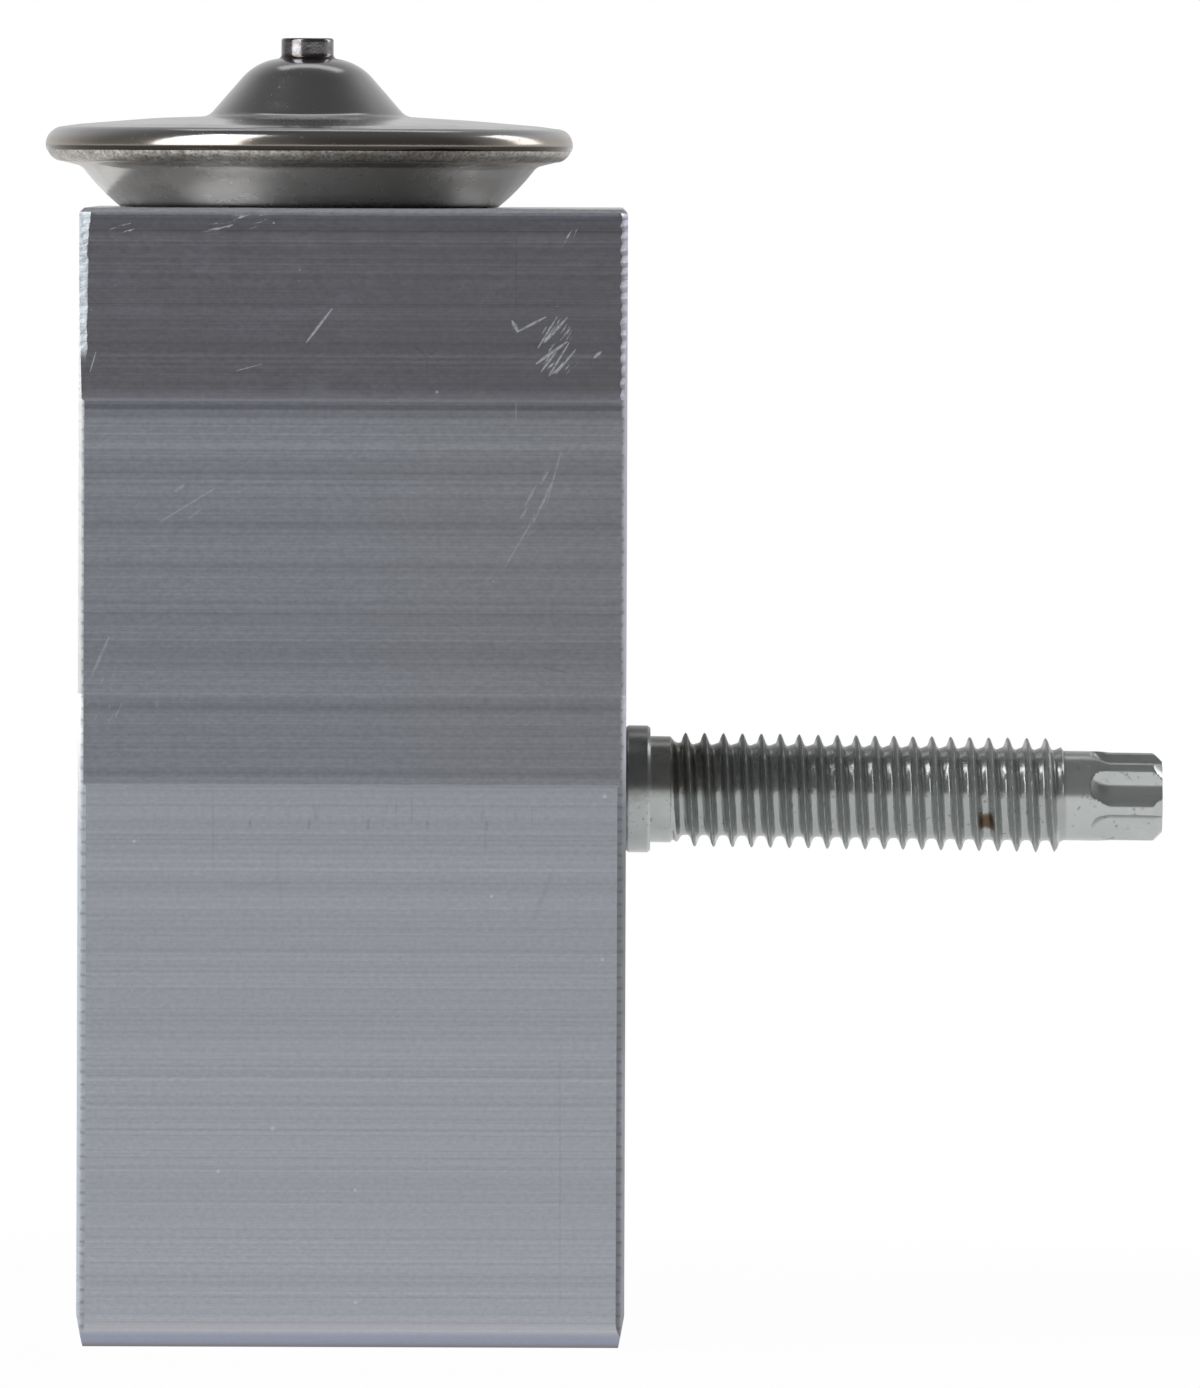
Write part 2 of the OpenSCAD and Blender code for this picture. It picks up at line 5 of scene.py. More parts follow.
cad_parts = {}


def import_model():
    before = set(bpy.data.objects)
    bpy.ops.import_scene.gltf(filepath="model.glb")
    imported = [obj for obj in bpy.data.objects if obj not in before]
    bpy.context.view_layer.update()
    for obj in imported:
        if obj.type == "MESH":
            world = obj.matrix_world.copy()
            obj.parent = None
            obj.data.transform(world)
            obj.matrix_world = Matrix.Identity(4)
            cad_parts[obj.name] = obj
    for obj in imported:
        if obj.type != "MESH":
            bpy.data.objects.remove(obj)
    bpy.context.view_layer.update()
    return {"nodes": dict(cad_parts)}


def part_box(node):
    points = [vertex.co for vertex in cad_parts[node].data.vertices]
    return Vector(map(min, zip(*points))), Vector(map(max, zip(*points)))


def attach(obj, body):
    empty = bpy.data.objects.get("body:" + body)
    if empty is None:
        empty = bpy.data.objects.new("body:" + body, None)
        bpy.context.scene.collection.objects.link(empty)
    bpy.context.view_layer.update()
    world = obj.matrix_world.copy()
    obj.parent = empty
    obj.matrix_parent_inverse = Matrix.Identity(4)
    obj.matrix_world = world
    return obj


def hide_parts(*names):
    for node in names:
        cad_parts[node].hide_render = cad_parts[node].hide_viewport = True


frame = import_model()

MM = 0.001
TAU = 2 * math.pi

# Sizes of the block, read from the frame, in millimetres
block_lo, block_hi = (tuple(v / MM for v in corner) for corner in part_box("valve_body"))
BLOCK_TOP = block_hi[2]
PORT_FACE = block_hi[0]
FRONT = block_lo[1]

# Photograph: 1200 x 1388 pixels, with 18.95 of them to a millimetre at the valve axis
PHOTO_W = 1200
PHOTO_H = 1388
PX_PER_MM = 18.95
VIEW_X = 15.43
VIEW_Z = 33.63
CAMERA_D = 1150.0
CAMERA_ELEVATION = 1.45
CAMERA_ROLL = 0.2


def place(name, data):
    """A new object in the scene, for a mesh, a camera or a lamp."""
    obj = bpy.data.objects.new(name, data)
    bpy.context.scene.collection.objects.link(obj)
    return obj


def clamp(value):
    return min(1.0, max(0.0, value))


def camera():
    data = bpy.data.cameras.new("camera")
    cam = place("camera", data)
    data.sensor_width = 36.0
    data.lens = data.sensor_width * CAMERA_D / (PHOTO_H / PX_PER_MM)
    data.clip_start = 0.1
    data.clip_end = 50.0
    rise = math.radians(CAMERA_ELEVATION)
    back = Vector((0.0, -math.cos(rise), math.sin(rise)))
    target = Vector((VIEW_X, 0.0, VIEW_Z)) * MM
    cam.location = target + back * CAMERA_D * MM
    cam.rotation_mode = "QUATERNION"
    roll = Quaternion(Vector((0.0, 0.0, 1.0)), math.radians(CAMERA_ROLL))
    cam.rotation_quaternion = (-back).to_track_quat("-Z", "Y") @ roll
    bpy.context.scene.camera = cam


def on_flank(px, py):
    """The (x, z) of the front flank's point that a pixel of the photograph shows, in millimetres."""
    scale = PX_PER_MM * CAMERA_D / (CAMERA_D + FRONT)
    roll = math.radians(CAMERA_ROLL)
    u, v = (px - PHOTO_W / 2) / scale, (PHOTO_H / 2 - py) / scale
    u, v = u * math.cos(roll) - v * math.sin(roll), v * math.cos(roll) + u * math.sin(roll)
    return VIEW_X + u, VIEW_Z + v - FRONT * math.sin(math.radians(CAMERA_ELEVATION))


class Nodes:
    """A node tree, with one short call for each kind of node."""

    def __init__(self, tree):
        self.tree = tree
        tree.nodes.clear()

    def add(self, kind, inputs=None, **props):
        node = self.tree.nodes.new(kind)
        for key, value in props.items():
            setattr(node, key, value)
        for key, value in (inputs or {}).items():
            if isinstance(value, bpy.types.NodeSocket):
                self.tree.links.new(value, node.inputs[key])
            else:
                node.inputs[key].default_value = value
        return node

    def math(self, op, a, b=0.5, c=0.5, clamp=False):
        node = self.add("ShaderNodeMath", {0: a, 1: b, 2: c}, operation=op, use_clamp=clamp)
        return node.outputs[0]

    def vector(self, op, a, b=None, scale=None):
        inputs = {0: a}
        if b is not None:
            inputs[1] = b
        if scale is not None:
            inputs["Scale"] = scale
        return self.add("ShaderNodeVectorMath", inputs, operation=op).outputs[0]

    def parts(self, v):
        return self.add("ShaderNodeSeparateXYZ", {0: v}).outputs

    def join(self, x, y, z):
        return self.add("ShaderNodeCombineXYZ", {0: x, 1: y, 2: z}).outputs[0]

    def noise(self, at, scale, detail=3.0, rough=0.55, distort=0.0):
        inputs = {"Vector": at, "Scale": scale, "Detail": detail, "Roughness": rough,
                  "Distortion": distort}
        return self.add("ShaderNodeTexNoise", inputs).outputs["Fac"]

    def cells(self, at, scale):
        return self.add("ShaderNodeTexVoronoi", {"Vector": at, "Scale": scale})

    def dot(self, a, b):
        return self.add("ShaderNodeVectorMath", {0: a, 1: b}, operation="DOT_PRODUCT").outputs["Value"]

    def length(self, a):
        return self.add("ShaderNodeVectorMath", {0: a}, operation="LENGTH").outputs["Value"]

    def product(self, *values):
        out = values[0]
        for value in values[1:]:
            out = self.math("MULTIPLY", out, value)
        return out

    def union(self, *masks):
        out = masks[0]
        for mask in masks[1:]:
            out = self.math("MAXIMUM", out, mask)
        return out

    def step(self, value, low, high, to_low=0.0, to_high=1.0):
        inputs = {"Value": value, "From Min": low, "From Max": high, "To Min": to_low,
                  "To Max": to_high}
        node = self.add("ShaderNodeMapRange", inputs, interpolation_type="SMOOTHSTEP")
        return node.outputs["Result"]

    def mix(self, factor, a, b, blend="MIX"):
        node = self.add("ShaderNodeMix", data_type="RGBA", blend_type=blend, clamp_factor=True)
        for socket, value in ((node.inputs[0], factor), (node.inputs[6], a), (node.inputs[7], b)):
            if isinstance(value, bpy.types.NodeSocket):
                self.tree.links.new(value, socket)
            elif isinstance(value, tuple):
                socket.default_value = (*value, 1.0)
            else:
                socket.default_value = value
        return node.outputs[2]


class Graph(Nodes):
    """A material's nodes, with the place on its piece in millimetres."""

    def __init__(self, name):
        self.mat = bpy.data.materials.new(name)
        self.mat.use_nodes = True
        super().__init__(self.mat.node_tree)
        where = self.add("ShaderNodeTexCoord").outputs["Object"]
        self.mm = self.vector("SCALE", where, scale=1 / MM)

    def scratch(self, at, a, b, width):
        """A straight mark from a to b on a flat vector, widest at its middle."""
        start, along = Vector((*a, 0.0)), Vector((b[0] - a[0], b[1] - a[1], 0.0))
        off = self.vector("SUBTRACT", at, tuple(start))
        t = self.math("MULTIPLY", self.dot(off, tuple(along)), 1 / along.length_squared, clamp=True)
        near = self.vector("SCALE", tuple(along), scale=t)
        far = self.length(self.vector("SUBTRACT", off, near))
        taper = self.math("MULTIPLY", self.math("SUBTRACT", 1.0, t), t)
        reach = self.math("MULTIPLY_ADD", taper, 2.4 * width, 0.4 * width)
        return self.math("SUBTRACT", 1.0, self.math("DIVIDE", far, reach), clamp=True)

    def scuff(self, at, centre, size, angle, amount, seed=0.0):
        """Short strokes side by side in an oval patch, running at an angle in degrees."""
        a = math.radians(angle)
        off = self.vector("SUBTRACT", at, (*centre, 0.0))
        u = self.dot(off, (math.cos(a), math.sin(a), 0.0))
        v = self.dot(off, (-math.sin(a), math.cos(a), 0.0))
        oval = self.length(self.join(self.math("DIVIDE", u, size[0]), self.math("DIVIDE", v, size[1]), 0.0))
        strokes = self.noise(self.join(self.math("MULTIPLY", u, 0.9), self.math("MULTIPLY", v, 6.0), seed),
                             1.0, detail=2.0)
        return self.product(self.step(strokes, 0.62 - amount, 0.7 - amount), self.step(oval, 1.0, 0.6))

    def bump(self, height, distance):
        return self.add("ShaderNodeBump", {"Height": height, "Distance": distance}).outputs[0]

    def finish(self, color, roughness, normal=None, metallic=1.0, **constants):
        inputs = {"Base Color": color, "Roughness": roughness, "Metallic": metallic}
        if normal is not None:
            inputs["Normal"] = normal
        inputs.update({key.replace("_", " "): value for key, value in constants.items()})
        if isinstance(color, tuple):
            inputs["Base Color"] = (*color, 1.0)
        shader = self.add("ShaderNodeBsdfPrincipled", inputs)
        self.add("ShaderNodeOutputMaterial", {"Surface": shader.outputs[0]})
        return self.mat


def grey(value):
    """The linear value of an 8-bit screen tone."""
    v = value / 255
    return v / 12.92 if v <= 0.04045 else ((v + 0.055) / 1.055) ** 2.4


def tone(r, g, b):
    return (grey(r), grey(g), grey(b))


def mesh_piece(name, points, faces, body, material, replaced=()):
    """A smooth mesh in millimetres, turned into a piece that rides on a body."""
    mesh = bpy.data.meshes.new(name)
    mesh.from_pydata([tuple(c * MM for c in p) for p in points], [], faces)
    mesh.validate()
    mesh.update()
    obj = place(name, mesh)
    mesh.materials.append(material)
    mesh.shade_smooth()
    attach(obj, body)
    if replaced:
        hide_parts(*replaced)
    return obj


def ring_faces(rows, cols, closed):
    """Quads between rings of cols points; the last ring meets the first, or else both ends are capped."""
    faces = []
    for i in range(rows if closed else rows - 1):
        j = (i + 1) % rows
        for k in range(cols):
            m = (k + 1) % cols
            faces.append((i * cols + k, i * cols + m, j * cols + m, j * cols + k))
    if not closed:
        faces.append(tuple(range(cols - 1, -1, -1)))
        faces.append(tuple((rows - 1) * cols + k for k in range(cols)))
    return faces


def sharpen(obj, degrees):
    """Keeps edges sharper than an angle as true edges in the shading."""
    mesh = obj.data
    limit = math.cos(math.radians(degrees))
    normals = [p.normal.copy() for p in mesh.polygons]
    beside = {}
    for p in mesh.polygons:
        for key in p.edge_keys:
            beside.setdefault(key, []).append(p.index)
    sharp = mesh.attributes.new("sharp_edge", "BOOLEAN", "EDGE")
    for edge in mesh.edges:
        pair = beside.get(edge.key, ())
        if len(pair) == 2 and normals[pair[0]].dot(normals[pair[1]]) < limit:
            sharp.data[edge.index].value = True


# Materials

# Brightness of what the front flank mirrors
LEVEL = 0.66


def zone(r, g, b):
    """Base colour that shows as a screen tone on the front flank."""
    return tuple(v / LEVEL for v in tone(r, g, b))


def die_lines(g, fine_k, broad_k, speckle):
    """Streaks that an extrusion die leaves along X, as a shade about 1, and their fine relief."""
    x, y, z = g.parts(g.mm)
    slow = g.math("MULTIPLY", x, 0.0004)
    fine = g.noise(g.join(slow, g.math("MULTIPLY", y, 4.6), g.math("MULTIPLY", z, 4.6)), 1.0,
                   detail=6.0, rough=0.75)
    broad = g.noise(g.join(slow, g.math("MULTIPLY_ADD", y, 0.62, 9.0), g.math("MULTIPLY", z, 0.62)), 1.0,
                    detail=3.0, rough=0.6)
    grain = g.noise(g.vector("MULTIPLY", g.mm, (3.2, 5.0, 5.0)), 1.0, detail=4.0, rough=0.72)
    shade = g.math("MULTIPLY_ADD", g.math("SUBTRACT", fine, 0.5), fine_k, 1.0)
    shade = g.product(shade, g.math("MULTIPLY_ADD", g.math("SUBTRACT", broad, 0.5), broad_k, 1.0))
    shade = g.product(shade, g.math("MULTIPLY_ADD", g.math("SUBTRACT", grain, 0.5), speckle, 1.0))
    return shade, fine, grain


def shaded(g, color, shade):
    return g.mix(1.0, color, g.join(shade, shade, shade), "MULTIPLY")


def extruded_finish(g, color, grain, fine, roughness):
    rough = g.math("MULTIPLY_ADD", g.math("SUBTRACT", grain, 0.5), 0.2, roughness)
    return g.finish(color, rough, g.bump(fine, 0.000006))


def lines(g, flat, mask, *marks):
    """A mask with scratches added, one after the other, which keeps the shader small."""
    for ax, ay, bx, by, width in marks:
        mask = g.union(mask, g.scratch(flat, on_flank(ax, ay), on_flank(bx, by), width))
    return mask


def patches(g, flat, mask, *marks):
    """A mask with scuffs added."""
    for px, py, size, angle, amount, seed in marks:
        mask = g.union(mask, g.scuff(flat, on_flank(px, py), size, angle, amount, seed))
    return mask


def broken_up(g):
    """Gaps in a handling mark."""
    return g.step(g.noise(g.vector("SCALE", g.mm, scale=5.0), 1.0, detail=2.0), 0.36, 0.56, 0.45, 1.0)


def nicks(g, color, amount):
    """Small bright nicks, as round dots."""
    cell = g.cells(g.vector("SCALE", g.mm, scale=0.7), 1.0)
    size = g.step(g.parts(cell.outputs["Color"])[0], 0.72, 0.95, 0.0, 0.06)
    dots = g.step(g.math("SUBTRACT", cell.outputs["Distance"], size), 0.03, 0.0)
    return g.mix(g.math("MULTIPLY", dots, amount), color, zone(186, 192, 198))


# Handling marks on the front flank, given in pixels of the photograph.
# A scratch has its two ends and its width in millimetres.
# A scuff has its centre, its reach in millimetres, the angle of its strokes, their amount and a seed.
UPPER_SCRATCHES = (
    (306, 343, 332, 309, 0.10), (512, 321, 518, 332, 0.14), (517, 332, 546, 317, 0.10),
    (538, 348, 557, 317, 0.08), (545, 342, 567, 318, 0.12), (536, 364, 567, 342, 0.13),
    (549, 376, 569, 343, 0.08), (556, 374, 576, 349, 0.07), (541, 372, 556, 352, 0.09),
    (594, 358, 601, 352, 0.13), (90, 372, 96, 352, 0.05), (236, 371, 262, 364, 0.04))
UPPER_SCUFFS = (
    (556, 334, (0.9, 0.9), 57, 0.05, 1.0), (560, 360, (1.0, 1.0), 52, 0.05, 2.0),
    (247, 221, (2.6, 0.5), 12, 0.06, 3.0), (268, 212, (2.2, 0.25), 4, 0.08, 4.0),
    (124, 230, (1.0, 0.5), 20, 0.02, 5.0), (575, 222, (1.6, 0.5), 60, 0.02, 6.0))
UPPER_DARK = (
    (413, 345, 428, 358, 0.09), (436, 349, 427, 358, 0.07), (427, 356, 427, 372, 0.08),
    (516, 236, 516, 322, 0.05))
MIDDLE_SCRATCHES = (
    (160, 522, 215, 488, 0.08), (188, 519, 201, 509, 0.09), (505, 567, 535, 516, 0.08),
    (532, 526, 553, 480, 0.10), (547, 502, 561, 452, 0.08), (525, 506, 536, 486, 0.10),
    (516, 400, 516, 420, 0.05), (92, 675, 109, 637, 0.12), (175, 491, 184, 485, 0.12))
MIDDLE_SCUFFS = (
    (536, 505, (2.6, 0.6), 64, 0.05, 7.0), (100, 700, (2.5, 1.6), 70, 0.0, 8.0),
    (160, 720, (2.5, 1.5), 60, -0.02, 9.0))
MIDDLE_DARK = ((542, 667, 569, 673, 0.08),)
LOWER_SMEARS = ((277, 850, 281, 902, 0.22), (222, 886, 292, 883, 0.16), (553, 870, 533, 922, 0.22))
LOWER_DARK = ((485, 806, 485, 856, 0.05), (213, 788, 213, 871, 0.05), (560, 1045, 560, 1308, 0.05))

# Heights where the flank's steps start, and how deep a step is
LOW_STEP = 29.2
HIGH_STEP = 49.2
STEP = 0.15
# Distance between two cuts of the saw, and how far its burrs turn against the die lines' relief
CUT_PITCH = 0.63
BURR_TILT = 52.0


def front_upper():
    """The flank above the upper step, with its handling marks and the burrs on its upright edges."""
    g = Graph("block_front_upper")
    x, _, z = g.parts(g.mm)
    flat = g.join(x, z, 0.0)
    shade, fine, grain = die_lines(g, 1.15, 1.1, 0.5)
    cloud = g.noise(g.vector("MULTIPLY", g.mm, (0.35, 1.0, 0.9)), 1.0, detail=3.0, rough=0.6)
    color = g.mix(g.step(x, -6.0, 17.0), zone(102, 102, 107), zone(101, 100, 104))
    color = g.mix(g.product(g.step(cloud, 0.45, 0.75), 0.35), color, zone(112, 114, 121))
    # Painted highlight: a lighter band just above the upper step
    color = g.mix(g.step(z, HIGH_STEP + 0.7, HIGH_STEP + 0.2), color, zone(116, 117, 123))
    # Painted highlight and shade at the rounded top edge: darker below it, a light band where the rounding
    # catches the light, darker again at the top
    color = g.mix(g.step(z, BLOCK_TOP - 0.95, BLOCK_TOP - 0.45), color, zone(103, 105, 111))
    color = g.mix(g.step(z, BLOCK_TOP - 0.41, BLOCK_TOP - 0.31), color, zone(158, 161, 168))
    color = g.mix(g.step(z, BLOCK_TOP - 0.17, BLOCK_TOP - 0.09), color, zone(104, 107, 114))
    color = shaded(g, color, shade)
    bright = patches(g, flat, lines(g, flat, 0.0, *UPPER_SCRATCHES), *UPPER_SCUFFS)
    color = g.mix(g.product(bright, broken_up(g), 0.8), color, zone(186, 192, 196))
    dark = lines(g, flat, 0.0, *UPPER_DARK)
    color = g.mix(g.math("MULTIPLY", dark, 0.22), color, zone(60, 58, 58))
    color = nicks(g, color, 0.5)
    # Burrs turn both upright edges towards the lit side; the edges are also painted lighter, a painted
    # highlight
    ragged = g.noise(g.join(g.math("MULTIPLY", x, 0.6), 0.0, g.math("MULTIPLY", z, 0.9)), 1.0, detail=3.0)
    nick = g.math("PINGPONG", g.math("MULTIPLY_ADD", ragged, 0.4, z), CUT_PITCH / 2)
    right_border = g.math("MULTIPLY_ADD", ragged, -0.35, PORT_FACE - 0.2)
    right = g.math("SUBTRACT", x, g.math("MULTIPLY_ADD", nick, 0.3, right_border))
    left_border = g.step(z, BLOCK_TOP - 1.75, BLOCK_TOP - 0.05, block_lo[0] + 0.18, block_lo[0] + 0.32)
    left = g.math("SUBTRACT", x, g.math("MULTIPLY_ADD", ragged, 0.5, left_border))
    high = g.step(z, HIGH_STEP + 1.8, HIGH_STEP + 3.0)
    # Painted highlight on both upright edges
    color = g.mix(g.product(g.step(left, 0.0, -0.06), high), color, tone(162, 169, 174))
    color = g.mix(g.step(right, 0.0, 0.24), color, tone(150, 149, 160))
    slope = g.product(g.math("MINIMUM", left, 0.0), high)
    slope = g.product(g.math("ADD", slope, g.math("MAXIMUM", right, 0.0)), BURR_TILT)
    return extruded_finish(g, color, grain, g.math("ADD", slope, fine), 0.4)


def front_middle():
    """The flank between the steps."""
    g = Graph("block_front_middle")
    x, _, z = g.parts(g.mm)
    flat = g.join(x, z, 0.0)
    shade, fine, grain = die_lines(g, 0.95, 0.75, 0.6)
    height = g.math("MULTIPLY_ADD", g.math("SUBTRACT", fine, 0.5), 0.35, z)
    # Painted light and shade along the steps: lighter above the lower step, a lighter band under the upper
    # step and a dark shade line right under it
    color = g.mix(g.step(height, LOW_STEP + 0.65, LOW_STEP + 0.05), zone(123, 126, 132), zone(139, 143, 149))
    color = g.mix(g.step(z, HIGH_STEP - 2.6, HIGH_STEP - 2.3), color, zone(130, 134, 140))
    color = g.mix(g.step(height, HIGH_STEP - 1.0, HIGH_STEP - 0.75), color, zone(117, 120, 126))
    color = g.mix(g.step(z, HIGH_STEP - 0.5, HIGH_STEP - 0.35), color, zone(99, 101, 106))
    color = g.mix(g.step(z, HIGH_STEP - 0.2, HIGH_STEP - 0.05), color, zone(110, 111, 117))
    warm = g.product(g.step(x, -2.0, 17.0), g.step(z, 10.0, 40.0))
    color = g.mix(warm, color, (0.96, 0.93, 0.91), "MULTIPLY")
    color = shaded(g, color, shade)
    faint = patches(g, flat, lines(g, flat, 0.0, *MIDDLE_SCRATCHES), *MIDDLE_SCUFFS)
    color = g.mix(g.product(faint, broken_up(g), 0.4), color, zone(170, 176, 182))
    dark = lines(g, flat, 0.0, *MIDDLE_DARK)
    color = g.mix(g.math("MULTIPLY", dark, 0.22), color, zone(60, 58, 58))
    return extruded_finish(g, nicks(g, color, 0.3), grain, fine, 0.4)


def front_lower():
    """The flank below the lower step, down to its foot."""
    g = Graph("block_front_lower")
    x, _, z = g.parts(g.mm)
    flat = g.join(x, z, 0.0)
    shade, fine, grain = die_lines(g, 0.72, 0.34, 0.48)
    # Painted reflection of the floor: lighter towards the bottom, with a lighter band near the foot
    color = g.mix(g.step(z, 2.0, 28.0), zone(156, 159, 165), zone(147, 151, 157))
    color = g.mix(g.step(z, 2.0, 1.3), color, zone(162, 166, 174))
    color = shaded(g, color, shade)
    smears = lines(g, flat, 0.0, *LOWER_SMEARS)
    dark = lines(g, flat, g.product(smears, 0.45), *LOWER_DARK)
    chatter = g.noise(g.join(g.math("MULTIPLY", x, 4.0), g.math("MULTIPLY", z, 0.35), 4.0), 1.0, detail=2.0)
    chatter = g.product(g.step(z, LOW_STEP - 2.0, LOW_STEP - 1.6), g.step(z, LOW_STEP - 0.3, LOW_STEP - 0.7),
                        g.step(chatter, 0.56, 0.68), g.step(x, -1.5, 0.5), g.step(x, 13.5, 11.5), 0.8)
    beat = g.math("PINGPONG", g.math("ADD", x, 2.73), 1.535)
    beat = g.product(g.step(beat, 0.12, 0.03), g.step(z, LOW_STEP - 2.3, LOW_STEP - 2.1),
                     g.step(z, LOW_STEP - 1.6, LOW_STEP - 1.8), g.step(x, -3.5, -3.0), g.step(x, 10.5, 10.0))
    dark = g.union(dark, chatter, beat)
    color = g.mix(g.product(dark, broken_up(g), 0.22), color, zone(60, 58, 58))
    return extruded_finish(g, nicks(g, color, 0.5), grain, fine, 0.4)


def foot_metal():
    """The rounded feet of both flanks."""
    g = Graph("block_foot")
    _, _, z = g.parts(g.mm)
    shade, fine, _ = die_lines(g, 0.4, 0.2, 0.2)
    # Painted reflection: the colours by height stand in for the floor and the shadow next to the block, as
    # the foot mirrors them
    color = g.mix(g.step(z, 0.95, 0.5), (0.47, 0.48, 0.52), (0.33, 0.36, 0.45))
    color = g.mix(g.step(z, 0.4, 0.05), color, (0.36, 0.355, 0.39))
    return g.finish(shaded(g, color, shade), 0.4, g.bump(fine, 0.000006),
                    Specular_Tint=(0.4, 0.4, 0.4, 1.0))


def top_edge_metal():
    """The rounded top edge, dull where the flank runs over it."""
    g = Graph("block_top_edge")
    shade, fine, grain = die_lines(g, 0.4, 0.3, 0.5)
    color = g.mix(grain, (0.30, 0.31, 0.34), (0.44, 0.45, 0.48))
    return g.finish(shaded(g, color, shade), 0.5, g.bump(fine, 0.000006), metallic=0.25)


def step_metal(name, color):
    """The short slope of a flank's step."""
    g = Graph(name)
    shade, fine, grain = die_lines(g, 0.4, 0.3, 0.3)
    warm = g.mix(grain, color, tuple(v * 0.92 for v in color))
    return g.finish(shaded(g, warm, shade), 0.45, g.bump(fine, 0.000006))


def flank_metal():
    """The far flank, the top and the underside, as extruded."""
    g = Graph("block_extruded")
    x, y, z = g.parts(g.mm)
    flat = g.join(x, z, 0.0)
    shade, fine, grain = die_lines(g, 0.7, 0.5, 0.35)
    height = g.math("MULTIPLY_ADD", g.math("SUBTRACT", fine, 0.5), 0.35, z)
    # Painted reflection of the floor: lighter towards the bottom
    color = g.mix(g.step(z, 2.0, 28.0), zone(151, 154, 160), zone(144, 148, 154))
    color = g.mix(g.step(height, LOW_STEP - 0.15, LOW_STEP + 0.65), color, zone(122, 125, 131))
    color = g.mix(g.step(height, HIGH_STEP - 0.4, HIGH_STEP + 0.2), color, zone(104, 106, 111))
    on_top = g.step(z, BLOCK_TOP - 0.1, BLOCK_TOP - 0.03)
    color = g.mix(on_top, color, (0.74, 0.75, 0.77))
    color = g.mix(g.step(z, 0.05, 0.02), color, zone(158, 161, 166))
    color = shaded(g, color, shade)
    marks = g.scuff(flat, (4.0, 44.0), (4.0, 1.2), 35, 0.04, 11.0)
    marks = g.union(marks, g.scuff(flat, (9.0, 14.0), (3.0, 1.0), -50, 0.03, 12.0))
    marks = g.union(marks, g.scratch(flat, (-4.0, 20.0), (2.5, 27.0), 0.09))
    marks = g.union(marks, g.scratch(flat, (10.0, 36.0), (12.5, 33.0), 0.08))
    color = g.mix(g.product(marks, g.step(y, 16.8, 17.2), 0.5), color, zone(186, 192, 198))
    rough = g.math("MULTIPLY_ADD", g.math("SUBTRACT", grain, 0.5), 0.2,
                   g.math("MULTIPLY_ADD", on_top, -0.2, 0.44))
    metallic = g.math("MULTIPLY_ADD", on_top, -0.2, 1.0)
    return g.finish(color, rough, g.bump(fine, 0.000006), metallic=metallic)


def cutter_arcs(g, y, z):
    """Arcs that a large saw leaves on the port faces, and the distance from its axle."""
    reach = g.length(g.join(g.math("ADD", y, 95.0), g.math("SUBTRACT", z, 22.0), 0.0))
    jitter = g.noise(g.vector("SCALE", g.mm, scale=0.5), 1.0, detail=2.0)
    cut = g.math("PINGPONG", g.math("MULTIPLY_ADD", jitter, 0.25, reach), CUT_PITCH / 2)
    return g.math("DIVIDE", cut, CUT_PITCH / 2), reach


def sawn_metal():
    """The two port faces."""
    g = Graph("block_sawn")
    x, y, z = g.parts(g.mm)
    cut, reach = cutter_arcs(g, y, z)
    fine = g.noise(g.join(g.math("MULTIPLY", reach, 6.0), x, g.math("MULTIPLY", z, 0.03)), 1.0, detail=5.0,
                   rough=0.7)
    broad = g.noise(g.join(g.math("MULTIPLY", reach, 0.7), x, g.math("MULTIPLY", z, 0.04)), 1.0, detail=2.0)
    color = g.mix(g.step(broad, 0.3, 0.7), zone(150, 153, 158), zone(186, 188, 192))
    color = g.mix(g.math("MULTIPLY", g.step(fine, 0.62, 0.35), 0.45), color, zone(112, 114, 118))
    color = g.mix(g.math("MULTIPLY", g.step(cut, 0.35, 0.05), 0.3), color, zone(104, 106, 110))
    stain = g.noise(g.vector("SCALE", g.mm, scale=0.18), 1.0, detail=4.0, distort=0.5)
    color = g.mix(g.math("MULTIPLY", g.step(stain, 0.55, 0.7), 0.3), color, zone(116, 112, 106))
    relief = g.math("MULTIPLY_ADD", fine, 0.6, cut)
    return g.finish(color, g.math("MULTIPLY_ADD", fine, 0.2, 0.22), g.bump(relief, 0.000008))


